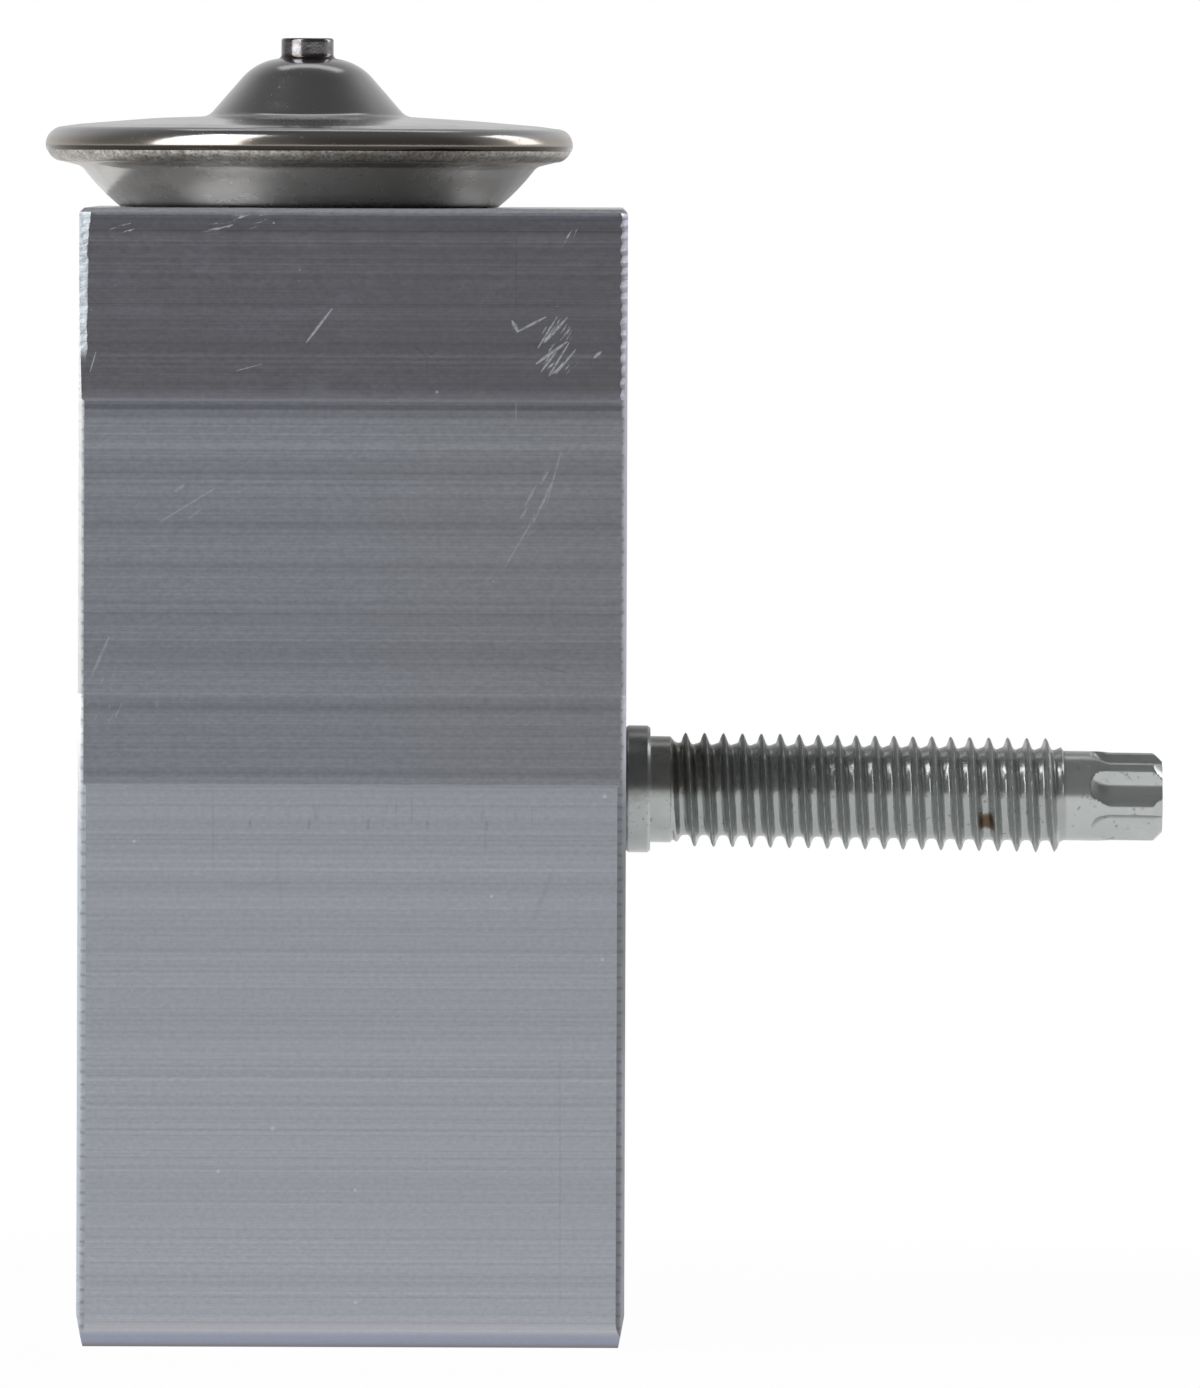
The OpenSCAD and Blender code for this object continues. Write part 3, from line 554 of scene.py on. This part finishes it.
def edge_metal():
    """The upright chamfers, nicked along their inner side where the saw's arcs end."""
    g = Graph("block_edge")
    x, y, z = g.parts(g.mm)
    in_x, in_y = g.math("ABSOLUTE", x), g.math("ABSOLUTE", y)
    ragged = g.noise(g.join(g.math("MULTIPLY", x, 0.5), g.math("SIGN", y), g.math("MULTIPLY", z, 1.4)), 1.0,
                     detail=4.0, rough=0.6)
    outer = g.math("MULTIPLY_ADD", ragged, 0.25, g.math("SUBTRACT", block_hi[1] - 0.25, in_y))
    # Bare metal on the chamfer's outer part, with a painted highlight: the strip is lighter and its tone
    # changes with height where the lamps' highlights fall
    bare_edge_and_sheen = g.step(outer, 0.0, 0.25)
    left = g.mix(g.step(z, 34.0, 24.0), tone(194, 194, 192), tone(164, 170, 178))
    right = g.mix(g.step(z, 31.5, 28.5), tone(196, 194, 206), tone(160, 161, 169))
    right = g.mix(g.step(z, 18.0, 13.0), right, tone(192, 192, 202))
    color = g.mix(g.step(x, -1.0, 1.0), left, right)
    color = g.mix(g.math("SUBTRACT", 1.0, bare_edge_and_sheen), color, tone(128, 132, 139))
    nick = g.math("PINGPONG", g.math("MULTIPLY_ADD", ragged, 0.3, z), CUT_PITCH / 2)
    nick = g.product(g.step(nick, 0.12, 0.03), g.step(bare_edge_and_sheen, 0.9, 0.4), 0.4)
    color = g.mix(nick, color, tone(72, 74, 80))
    # The burr turns the chamfer towards the light on its side, and its lower part up a little
    turn = g.step(x, -1.0, 1.0, 0.33, -0.19)
    slope = g.product(g.math("SUBTRACT", in_x, in_y), turn)
    slope = g.math("MULTIPLY_ADD", g.math("MINIMUM", z, 34.0), -0.11, slope)
    return g.finish(color, 0.3, g.bump(g.math("MULTIPLY_ADD", ragged, 0.03, slope), 0.001),
                    metallic=g.step(z, 34.0, 26.0, 0.65, 0.3))


def bored_metal():
    """The bores, with turning marks across their depth."""
    g = Graph("block_bored")
    x, _, z = g.parts(g.mm)
    turned = g.noise(g.join(g.math("MULTIPLY", x, 7.0), g.math("MULTIPLY", z, 0.05), 0.0), 1.0, detail=3.0)
    color = g.mix(turned, zone(150, 152, 155), zone(186, 188, 190))
    return g.finish(color, 0.3, g.bump(turned, 0.00001))


# How far the block's roundings and chamfers reach in from its box, and how high its foot is
FOOT_REACH = 1.45
FACE_REACH = 0.4
TOP_REACH = 0.22
FOOT_TOP = 1.41


def dress_block():
    """Gives each region of the block its own finish."""
    mesh = frame["nodes"]["valve_body"].data
    mesh.materials.clear()
    finishes = {
        "bored": bored_metal(),
        "upper": front_upper(),
        "middle": front_middle(),
        "lower": front_lower(),
        "foot": foot_metal(),
        # The step slopes are painted light, a painted highlight along the steps
        "low_step": step_metal("block_low_step", zone(206, 210, 215)),
        "high_step": step_metal("block_high_step", zone(176, 178, 185)),
        "extruded": flank_metal(),
        "sawn": sawn_metal(),
        "edge": edge_metal(),
        "top_edge": top_edge_metal()}
    regions = list(finishes)
    for material in finishes.values():
        mesh.materials.append(material)
    (left, front, low), (right, rear, high) = block_lo, block_hi
    for p in mesh.polygons:
        corners = [mesh.vertices[i].co / MM for i in p.vertices]
        n = p.normal
        z0, z1 = min(c.z for c in corners), max(c.z for c in corners)
        on_front = all(c.y <= front + FOOT_REACH for c in corners)
        on_flank_side = on_front or all(c.y >= rear - FOOT_REACH for c in corners)
        on_left = all(c.x <= left + FACE_REACH for c in corners) and n.x < -0.9
        on_right = all(c.x >= right - FACE_REACH for c in corners) and n.x > 0.9
        if on_left or on_right:
            region = "sawn"
        elif on_flank_side and abs(n.x) > 0.3:
            region = "edge"
        elif on_flank_side and z1 <= FOOT_TOP:
            region = "foot"
        elif on_flank_side and z0 > high - TOP_REACH and n.z < 0.99:
            region = "top_edge"
        elif on_front and z0 > HIGH_STEP + STEP - 0.01:
            region = "upper"
        elif on_front and n.z > 0.5:
            region = "high_step" if z0 > (LOW_STEP + HIGH_STEP) / 2 else "low_step"
        elif on_front:
            region = "middle" if z0 > LOW_STEP + STEP - 0.01 else "lower"
        elif on_flank_side or z1 < low + 0.02 or z0 > high - 0.01:
            region = "extruded"
        else:
            region = "bored"
        p.material_index = regions.index(region)


def polar(g):
    """Distance from the valve axis, angle about it and height over the block."""
    x, y, z = g.parts(g.mm)
    r = g.length(g.join(x, y, 0.0))
    return r, g.math("ARCTAN2", y, x), g.math("SUBTRACT", z, BLOCK_TOP)


def cover_metal():
    g = Graph("cover_steel")
    r, angle, z = polar(g)
    smudge = g.noise(g.vector("SCALE", g.mm, scale=0.45), 1.0, detail=4.0, distort=0.4)
    spun = g.noise(g.join(g.math("MULTIPLY", r, 5.0), g.math("MULTIPLY", angle, 0.15), z), 1.0, detail=4.0)
    color = g.mix(smudge, tone(203, 204, 207), tone(186, 186, 187))
    halo = g.product(g.step(r, 2.1, 1.6), g.step(z, 6.5, 7.2), 0.5)
    ragged = g.noise(g.vector("SCALE", g.mm, scale=2.2), 1.0, detail=3.0)
    color = g.mix(g.product(halo, g.step(ragged, 0.3, 0.6)), color, tone(122, 98, 78))
    straw = g.product(g.step(r, 12.6, 13.3), g.step(z, 3.9, 3.5))
    color = g.mix(g.math("MULTIPLY", straw, 0.5), color, tone(150, 128, 98))
    # Painted shade: the lower lip above the weld is painted nearly black, a dark band
    lip_shade = g.product(g.step(r, 12.6, 13.0), g.step(z, CLAMP_Z + 0.02, CLAMP_Z - 0.1), 0.95)
    color = g.mix(lip_shade, color, tone(42, 40, 38))
    fleck = g.step(g.noise(g.vector("SCALE", g.mm, scale=3.0), 1.0, detail=2.0), 0.66, 0.72)
    color = g.mix(g.math("MULTIPLY", fleck, 0.3), color, tone(120, 112, 100))
    roughness = g.math("MULTIPLY_ADD", smudge, 0.12, 0.1)
    roughness = g.math("ADD", roughness, g.math("MULTIPLY", g.union(fleck, halo), 0.15))
    relief = g.math("ADD", g.math("MULTIPLY", spun, 0.25), g.math("MULTIPLY", smudge, 0.8))
    return g.finish(color, roughness, g.bump(relief, 0.00001))


def weld_metal():
    g = Graph("weld_steel")
    _, angle, z = polar(g)
    lump = g.noise(g.vector("SCALE", g.mm, scale=1.5), 1.0, detail=5.0, rough=0.65, distort=0.6)
    small = g.noise(g.vector("SCALE", g.mm, scale=5.5), 1.0, detail=4.0, rough=0.7)
    ripple = g.math("SINE", g.math("MULTIPLY_ADD", lump, 5.0, g.math("MULTIPLY", angle, 96.0)))
    color = g.mix(g.step(lump, 0.35, 0.65), tone(172, 167, 160), tone(206, 203, 198))
    color = g.mix(g.math("MULTIPLY", g.step(small, 0.55, 0.4), 0.7), color, tone(116, 110, 101))
    burnt = g.step(g.math("MULTIPLY_ADD", g.math("SUBTRACT", lump, 0.5), 1.2, z), 2.5, 2.25)
    color = g.mix(g.math("MULTIPLY", burnt, 0.4), color, tone(104, 82, 62))
    roughness = g.math("MULTIPLY_ADD", small, 0.3, 0.2)
    relief = g.math("ADD", g.math("MULTIPLY", ripple, 0.12), g.math("MULTIPLY", small, 0.8))
    return g.finish(color, roughness, g.bump(relief, 0.00005))


def cup_metal():
    g = Graph("cup_steel")
    r, angle, z = polar(g)
    turned = g.noise(g.join(g.math("MULTIPLY", z, 7.0), g.math("MULTIPLY", angle, 0.3), r), 1.0, detail=4.0)
    haze = g.noise(g.vector("SCALE", g.mm, scale=0.5), 1.0, detail=4.0)
    color = g.mix(haze, tone(204, 203, 202), tone(180, 179, 177))
    tint = g.step(g.math("MULTIPLY_ADD", haze, 0.5, z), 2.15, 2.6)
    color = g.mix(g.math("MULTIPLY", tint, 0.35), color, tone(142, 120, 92))
    # Painted shade: darker at the foot, where the cup meets the block
    color = g.mix(g.math("MULTIPLY", g.step(z, 0.35, 0.1), 0.4), color, tone(70, 66, 58))
    roughness = g.math("MULTIPLY_ADD", haze, 0.16, 0.2)
    return g.finish(color, roughness, g.bump(turned, 0.000008))


def pin_metal():
    g = Graph("pin_steel")
    _, _, z = polar(g)
    burn = g.noise(g.vector("SCALE", g.mm, scale=1.6), 1.0, detail=4.0)
    color = g.mix(g.step(burn, 0.35, 0.62), tone(116, 112, 113), tone(150, 147, 150))
    color = g.mix(g.math("MULTIPLY", g.step(z, 8.1, 7.95), 0.7), color, tone(64, 52, 44))
    grit = g.noise(g.vector("SCALE", g.mm, scale=9.0), 1.0, detail=3.0)
    return g.finish(color, g.math("MULTIPLY_ADD", grit, 0.16, 0.06), g.bump(grit, 0.000005))


def zinc_metal():
    g = Graph("zinc_steel")
    x, y, z = g.parts(g.mm)
    up = g.math("SUBTRACT", z, STUD_Z)
    r = g.length(g.join(y, up, 0.0))
    s = g.math("SUBTRACT", x, PORT_FACE)
    tint = g.noise(g.vector("SCALE", g.mm, scale=0.7), 1.0, detail=4.0)
    grit = g.noise(g.vector("SCALE", g.mm, scale=5.0), 1.0, detail=4.0, rough=0.7)
    color = g.mix(tint, tone(206, 210, 209), tone(188, 192, 190))
    root = g.step(r, ROOT_R + 0.33, ROOT_R + 0.06)
    thread = g.product(g.step(s, COLLAR_END, COLLAR_END + 0.1), g.step(s, THREAD_END + 0.2, THREAD_END))
    # Brown grime near the block, kept to the upper half, where it is also a painted shade
    grime_and_shade = g.product(g.step(g.math("MULTIPLY_ADD", tint, 5.0, s), 10.5, 4.5), g.step(up, -0.5, 0.3))
    crest = g.product(g.step(r, CREST_R - 0.37, CREST_R - 0.17), thread,
                      g.step(s, RELIEF_END, RELIEF_END + 0.1))
    color = g.mix(g.product(root, thread, 0.25), color, tone(120, 118, 110))
    # The crests are painted darker, a painted shade for the dark that they mirror; they are also rougher
    color = g.mix(g.math("MULTIPLY", crest, 0.35), color, tone(130, 134, 134))
    grime_and_shade = g.product(grime_and_shade, thread, g.step(r, CREST_R - 0.08, ROOT_R + 0.11, 0.4, 0.7))
    color = g.mix(grime_and_shade, color, tone(104, 98, 86))
    pits = g.step(g.noise(g.vector("SCALE", g.mm, scale=3.2), 1.0, detail=3.0), 0.62, 0.7)
    color = g.mix(g.math("MULTIPLY", pits, 0.45), color, tone(96, 88, 74))
    spot = g.length(g.vector("SUBTRACT", g.join(s, y, up), RUST_SPOT))
    rust = g.step(g.math("MULTIPLY_ADD", grit, -0.5, spot), 0.42, 0.15)
    color = g.mix(g.math("MULTIPLY", rust, 0.9), color, tone(98, 70, 46))
    collar = g.step(s, COLLAR_END + 0.02, COLLAR_END - 0.02)
    # Oil on the collar, darker on its upper side, where it is partly a painted shade
    oil_and_shade = g.product(collar, g.step(g.math("MULTIPLY_ADD", grit, 1.2, up), -0.3, 1.1))
    color = g.mix(g.math("MULTIPLY", oil_and_shade, 0.5), color, tone(96, 94, 90))
    roughness = g.math("MULTIPLY_ADD", grit, 0.16, 0.16)
    roughness = g.math("ADD", roughness, g.math("MULTIPLY", g.union(rust, crest), 0.25))
    return g.finish(color, roughness, g.bump(grit, 0.000003), metallic=0.75)


def turned_metal(name, light, dark, roughness):
    """A turned metal, with fine rings about the valve axis."""
    g = Graph(name)
    r, angle, z = polar(g)
    ring = g.noise(g.join(g.math("MULTIPLY", z, 6.0), g.math("MULTIPLY", r, 6.0),
                          g.math("MULTIPLY", angle, 0.2)), 1.0, detail=4.0)
    haze = g.noise(g.vector("SCALE", g.mm, scale=0.8), 1.0, detail=3.0)
    color = g.mix(g.math("MULTIPLY_ADD", ring, 0.5, g.math("MULTIPLY", haze, 0.5)), light, dark)
    rough = g.math("MULTIPLY_ADD", haze, 0.16, roughness - 0.08)
    return g.finish(color, rough, g.bump(ring, 0.000008))


def drawn_metal(name, light, dark, roughness):
    g = Graph(name)
    haze = g.noise(g.vector("SCALE", g.mm, scale=2.0), 1.0, detail=4.0)
    return g.finish(g.mix(haze, light, dark), g.math("MULTIPLY_ADD", haze, 0.15, roughness - 0.07),
                    g.bump(haze, 0.000006))


def seal_rubber():
    g = Graph("seal_rubber")
    haze = g.noise(g.vector("SCALE", g.mm, scale=3.0), 1.0, detail=4.0)
    color = g.mix(haze, tone(34, 34, 36), tone(24, 24, 26))
    return g.finish(color, g.math("MULTIPLY_ADD", haze, 0.2, 0.45), g.bump(haze, 0.00001), metallic=0.0)


# Power element, with heights over the top of the block

RIM_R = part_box("upper_cover")[1].x / MM
FLANGE_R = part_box("diaphragm")[1].x / MM
RIM_ROUND = RIM_R - FLANGE_R
CLAMP_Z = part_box("rim_weld")[1].z / MM - BLOCK_TOP
AROUND = 360
# The dome's top, its hole for the charge and how far the dome sits off the axis
DOME_TOP = 7.88
THROAT_R = 0.7
DOME_SHIFT = -0.11


def arc(c, r, a0, a1, n):
    """Points on an arc about c, from angle a0 to a1 in degrees."""
    span = [math.radians(a0 + (a1 - a0) * i / n) for i in range(n + 1)]
    return [(c[0] + r * math.cos(a), c[1] + r * math.sin(a)) for a in span]


def blend_corner(a, corner, b, reach, n):
    """A smooth curve that cuts the corner of a polyline within a distance."""
    pa, pc, pb = Vector(a), Vector(corner), Vector(b)
    start = pc + (pa - pc).normalized() * reach
    end = pc + (pb - pc).normalized() * reach
    curve = []
    for i in range(n + 1):
        t = i / n
        curve.append(tuple(start * (1 - t) ** 2 + pc * 2 * t * (1 - t) + end * t * t))
    return curve


def subdivide(points, longest):
    """The same polyline with no step longer than a length."""
    out = [points[0]]
    for a, b in zip(points, points[1:]):
        d = math.dist(a, b)
        n = max(1, math.ceil(d / longest))
        out += [(a[0] + (b[0] - a[0]) * i / n, a[1] + (b[1] - a[1]) * i / n) for i in range(1, n + 1)]
    return out


def revolve(name, profile, material, replaced=(), around=AROUND, shift=None, closed=True):
    """A revolved piece on the valve axis; shift moves each point, given its radius, angle and height."""
    points = []
    for r, z in profile:
        for k in range(around):
            a = TAU * k / around
            rr, zz = shift(r, a, z) if shift else (r, z)
            points.append((rr * math.cos(a), rr * math.sin(a), zz + BLOCK_TOP))
    faces = ring_faces(len(profile), around, closed)
    return mesh_piece(name, points, faces, "root", material, replaced)


def upper_cover():
    foot = (5.2, 4.82)
    slope = 49
    shoulder = 3.0
    flange = (12.1, 4.33)
    corner_r = foot[0] - (DOME_TOP - foot[1]) / math.tan(math.radians(slope))
    c = (corner_r - shoulder * math.tan(math.radians(slope / 2)), DOME_TOP - shoulder)
    dome = arc(c, shoulder, 90, 90 - slope, 20)
    outer = [(THROAT_R, DOME_TOP), (1.0, DOME_TOP)] + dome
    outer += blend_corner(dome[-1], foot, flange, 0.35, 8)
    outer += [(8.4, 4.63), flange] + arc((FLANGE_R, CLAMP_Z), RIM_ROUND - 0.002, 88, -20, 27)
    inner = [(RIM_R - 0.5, CLAMP_Z - 0.3), (10.6, CLAMP_Z), (10.3, CLAMP_Z + 0.3), (5.0, 4.05)]
    inner += [(p[0] - 0.5, p[1] - 0.6) for p in reversed(dome[::4])] + [(THROAT_R, DOME_TOP - 0.7)]
    profile = subdivide(outer, 0.25) + inner

    def wave(r, a, z):
        p = Vector((math.cos(a) * r * 0.12, math.sin(a) * r * 0.12, z * 0.1))
        drift = 0.02 * noise.noise(p)
        edge = clamp((RIM_R - 0.3 - r) / 0.5)
        lift = 0.05 * max(0.0, -math.cos(a)) * clamp((r - 5.5) / 2) * edge
        return r, z + drift * edge - 0.02 * edge + lift

    cover = revolve("cover", profile, cover_metal(), ("upper_cover",), shift=wave)
    for v in cover.data.vertices:
        r = math.hypot(v.co.x, v.co.y) / MM
        v.co.x += DOME_SHIFT * MM * clamp((9.0 - r) / 3.6)
    return cover


def rim_weld():
    profile = [(FLANGE_R, CLAMP_Z - 0.001)] + arc((FLANGE_R, CLAMP_Z), RIM_ROUND - 0.01, 0, -90, 16)
    profile = subdivide(profile, 0.08)

    def bead(r, a, z):
        out = clamp((r - FLANGE_R) / 0.5)
        along = RIM_R * a
        p = Vector((math.cos(a) * RIM_R, math.sin(a) * RIM_R, z * 1.2))
        rough = noise.noise(p * 1.6) * 0.5 + noise.noise(p * 4.2) * 0.35
        scale = 0.25 * math.sin(along * TAU / 0.9 + 2.0 * noise.noise(p * 0.6))
        push = (rough + scale) * 0.05 - 0.05
        k = out * min(1.0, (CLAMP_Z - z) / 0.12)
        return r + push * k, z + (rough - 0.2) * 0.05 * k

    return revolve("weld_bead", profile, weld_metal(), ("rim_weld",), around=900, shift=bead)


def lower_cover():
    rim_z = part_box("rim_weld")[0].z / MM - BLOCK_TOP
    foot, shoulder = Vector((9.95, 0.02)), Vector((12.0, 2.15))
    side = (shoulder - foot).normalized()
    bulge = Vector((side.y, -side.x)) * 0.09
    wall = [foot + (shoulder - foot) * i / 12 + bulge * 4 * i * (12 - i) / 144 for i in range(13)]
    neck_r, bore_r, neck_end = 8.0, 5.6, -6.4
    outer = [(neck_r, neck_end), (neck_r, foot.y)] + [tuple(p) for p in wall[:-1]]
    outer += blend_corner(outer[-1], tuple(shoulder), (FLANGE_R, rim_z), 0.22, 8)
    outer += [(FLANGE_R, rim_z), (FLANGE_R, CLAMP_Z - 0.16)]
    inner = [(10.5, CLAMP_Z - 0.16), (10.5, 2.33), (9.7, 1.53), (bore_r, 1.53), (bore_r, neck_end)]
    profile = subdivide(outer, 0.25) + inner
    return revolve("cup", profile, cup_metal(), ("lower_cover",))


def charge_pin():
    r = 1.38
    top = 8.92
    seat = DOME_TOP - 0.05
    fillet = 0.22
    rounding = 0.15
    profile = [(0.02, 7.2), (THROAT_R, 7.2), (THROAT_R, seat + 0.01), (r + fillet, seat)]
    profile += arc((r + fillet, seat + fillet), fillet, -90, -180, 6)[1:]
    profile += arc((r - rounding, top - rounding), rounding, 0, 90, 6) + [(0.02, top)]
    profile = subdivide(profile, 0.1)
    pin = revolve("fill_plug", profile, pin_metal(), ("charge_pin",), around=96, closed=False)
    for v in pin.data.vertices:
        v.co.x += DOME_SHIFT * MM
    return pin


# Mounting stud, with distances along it from the port face

STUD_Z = 28.5
COLLAR_END = 1.3
RELIEF_END = 2.35
RUN_IN = 0.6
THREAD_END = 23.1
RUN_OUT = 0.5
NECK_END = 25.0
STUD_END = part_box("mounting_stud")[1].x / MM - PORT_FACE
COLLAR_R = 3.35
COLLAR_EDGE = 0.15
PITCH = 1.0
CREST_R = 3.03
ROOT_R = 2.39
CREST_START = 2.41
SHANK_R = 2.8
NECK_R = 2.36
TIP_R = 2.36
LOBE_R = 0.46
VALLEY_R = 1.68
LOBE_ANGLE = math.radians(-15)
STUD_DROOP = math.tan(math.radians(0.7))
STUD_RISE = 0.14
# Its end inside the block
CORE_R = 2.6
CORE_DEPTH = 8.0
# A spot of rust: distance along the stud, and across and up from its axis
RUST_SPOT = (19.08, -2.1, -1.55)


def thread_height(phase, angle):
    """Height of the thread over one pitch, from 0 in its round root to 1 at its crest.

    On the upper side the root rises towards the next crest."""
    u = phase - math.floor(phase)
    d = abs(u - 0.5) * 2
    return max(0.5 - 0.5 * math.cos(math.pi * d ** 1.9), 0.6 * (u - 0.42) * math.sin(angle))


def drive_radius(angle):
    """Radius of the six-lobe outline at an angle from the nearest lobe."""
    c = TIP_R - LOBE_R
    f = (c * c - (LOBE_R - VALLEY_R) ** 2) / (2 * (c * math.cos(math.pi / 6) + LOBE_R - VALLEY_R))
    fr = f - VALLEY_R
    part = LOBE_R / (LOBE_R + fr)
    tx = c + (f * math.cos(math.pi / 6) - c) * part
    ty = f * math.sin(math.pi / 6) * part
    a = abs((angle + math.pi / 6) % (math.pi / 3) - math.pi / 6)
    if a < math.atan2(ty, tx):
        return c * math.cos(a) + math.sqrt(max(0.0, LOBE_R ** 2 - (c * math.sin(a)) ** 2))
    b = math.pi / 6 - a
    return f * math.cos(b) - math.sqrt(max(0.0, fr ** 2 - (f * math.sin(b)) ** 2))


def stud_radius(s, angle):
    if s < COLLAR_END:
        edge = min(s, COLLAR_END - s)
        return COLLAR_R - max(0.0, COLLAR_EDGE - edge) * 0.8
    if s < RELIEF_END:
        return SHANK_R
    if s < THREAD_END:
        start = clamp((s - RELIEF_END) / RUN_IN)
        end = clamp((THREAD_END - s) / RUN_OUT)
        p = Vector((s * 1.1, math.cos(angle) * 1.6, math.sin(angle) * 1.6))
        wear = 0.03 * noise.noise(p * 1.3) + 0.02 * noise.noise(p * 4)
        crest = CREST_R - 0.02 + wear
        h = thread_height((s - CREST_START) / PITCH + angle / TAU, angle) * start
        root = ROOT_R + (SHANK_R - ROOT_R) * (1 - start) ** 2
        r = root + (crest - root) * h + 0.01 * noise.noise(p * 6)
        return min(r, NECK_R + end * (CREST_R - NECK_R))
    if s < THREAD_END + 0.01:
        return NECK_R
    cut = drive_radius(angle - LOBE_ANGLE)
    if s < NECK_END + 0.6:
        cut += 0.9 * ((NECK_END + 0.6 - s) / 1.3) ** 2
    chamfer = STUD_END - s
    return min(NECK_R if s < NECK_END else TIP_R, cut, TIP_R - 0.5 + max(0.0, chamfer))


def mounting_stud():
    stations = [-CORE_DEPTH, -0.01, 0.0, 0.08, COLLAR_EDGE, 0.6]
    stations += [COLLAR_END - COLLAR_EDGE, COLLAR_END - 0.08, COLLAR_END - 0.002]
    stations += [COLLAR_END + 0.002, RELIEF_END - 0.1]
    thread_step, tip_step = 0.045, 0.06
    n = round((THREAD_END - RELIEF_END) / thread_step)
    stations += [RELIEF_END + (THREAD_END - RELIEF_END) * i / n for i in range(n + 1)]
    n = round((STUD_END - THREAD_END) / tip_step)
    stations += [THREAD_END + 0.02 + (STUD_END - THREAD_END - 0.02) * i / n for i in range(n + 1)]
    around = 144
    points = []
    for s in stations:
        for k in range(around):
            a = TAU * k / around
            r = CORE_R if s < -0.005 else stud_radius(s, a)
            axis_z = STUD_Z + STUD_RISE - max(0.0, s) * STUD_DROOP
            points.append((PORT_FACE + s, -r * math.cos(a), axis_z + r * math.sin(a)))
    faces = ring_faces(len(stations), around, closed=False)
    stud = mesh_piece("stud", points, faces, "root", zinc_metal(), ("mounting_stud",))
    sharpen(stud, 35)
    return stud


def dress(node, material):
    obj = frame["nodes"][node]
    obj.data.materials.clear()
    obj.data.materials.append(material)


def dress_cad():
    dress_block()
    inner = turned_metal("inner_steel", tone(204, 205, 206), tone(176, 178, 180), 0.25)
    for node in ("thrust_plate", "sensing_rod", "ball_carrier"):
        dress(node, inner)
    rubber = seal_rubber()
    for node in ("head_o_ring", "rod_o_ring", "plug_o_ring"):
        dress(node, rubber)
    brass = turned_metal("brass", tone(212, 186, 120), tone(182, 150, 84), 0.28)
    for node in ("rod_seal_retainer", "adjusting_plug"):
        dress(node, brass)
    dress("valve_ball", drawn_metal("ball_steel", tone(224, 225, 226), tone(212, 213, 214), 0.12))
    spring = drawn_metal("spring_steel", tone(156, 158, 162), tone(124, 126, 130), 0.35)
    for node in ("damping_spring", "superheat_spring"):
        dress(node, spring)
    dress("diaphragm", drawn_metal("diaphragm_steel", tone(206, 206, 202), tone(190, 190, 186), 0.2))


# Surroundings

def world():
    """White for the camera; for all other rays a room with a white back wall and a dim ceiling."""
    studio = bpy.data.worlds.new("studio")
    studio.use_nodes = True
    bpy.context.scene.world = studio
    g = Nodes(studio.node_tree)
    across, away, up = g.parts(g.add("ShaderNodeTexCoord").outputs["Generated"])
    front = g.step(across, -0.6, 0.3, 0.24, 0.08)
    level = g.step(g.math("MULTIPLY_ADD", across, 0.25, away), -0.1, 0.75, front, 0.7)
    level = g.step(up, 0.0, 1.15, level, 0.1)
    white = g.add("ShaderNodeBackground", {"Color": (1, 1, 1, 1)})
    room = g.add("ShaderNodeBackground", {"Color": (1, 0.995, 0.985, 1), "Strength": level})
    seen = g.add("ShaderNodeLightPath").outputs["Is Camera Ray"]
    mix = g.add("ShaderNodeMixShader", {0: seen, 1: room.outputs[0], 2: white.outputs[0]})
    g.add("ShaderNodeOutputWorld", {"Surface": mix.outputs[0]})


def softbox(name, azimuth, elevation, distance, size, radiance, upright=False):
    """A softbox that faces the object; azimuth 0 is the camera's side, positive to the right."""
    a, e = math.radians(azimuth), math.radians(elevation)
    level = Vector((math.sin(a), -math.cos(a), 0.0))
    away = Vector((math.sin(a) * math.cos(e), -math.cos(a) * math.cos(e), math.sin(e)))
    data = bpy.data.lights.new(name, "AREA")
    data.shape = "RECTANGLE"
    data.size, data.size_y = size
    data.energy = radiance * math.pi * size[0] * size[1]
    obj = place(name, data)
    obj.location = Vector((VIEW_X, 0, VIEW_Z)) * MM + away * distance
    obj.rotation_mode = "QUATERNION"
    obj.rotation_quaternion = (level if upright else away).to_track_quat("Z", "Y")


def floor():
    """White paper for the camera and for mirrors, a little less so round the object's shadow."""
    half = 3.0
    mesh = bpy.data.meshes.new("floor")
    mesh.from_pydata([(-half, -half, 0), (half, -half, 0), (half, half, 0), (-half, half, 0)], [],
                     [(0, 1, 2, 3)])
    obj = place("floor", mesh)
    g = Graph("floor")
    paint = g.add("ShaderNodeBsdfDiffuse", {"Color": (0.9, 0.9, 0.9, 1)})
    glow = g.add("ShaderNodeEmission", {"Color": (1, 1, 1, 1)})
    rays = g.add("ShaderNodeLightPath").outputs
    seen = g.math("MULTIPLY_ADD", rays["Is Camera Ray"], 1.22, rays["Is Glossy Ray"])
    part = g.math("MULTIPLY", seen, g.step(g.length(g.mm), 60.0, 350.0, 0.8, 1.0))
    mix = g.add("ShaderNodeMixShader", {0: part, 1: paint.outputs[0], 2: glow.outputs[0]})
    g.add("ShaderNodeOutputMaterial", {"Surface": mix.outputs[0]})
    mesh.materials.append(g.mat)


bpy.context.scene.view_settings.view_transform = "Standard"
camera()
world()
floor()
softbox("soft_left", -51, 47, 0.84, (0.42, 1.2), 3.3, upright=True)
softbox("soft_right", 113, 28, 0.68, (0.2, 0.5), 2.1, upright=True)
softbox("soft_back", 178, 62, 0.6, (0.42, 0.14), 0.6)
upper_cover()
rim_weld()
lower_cover()
charge_pin()
mounting_stud()
dress_cad()
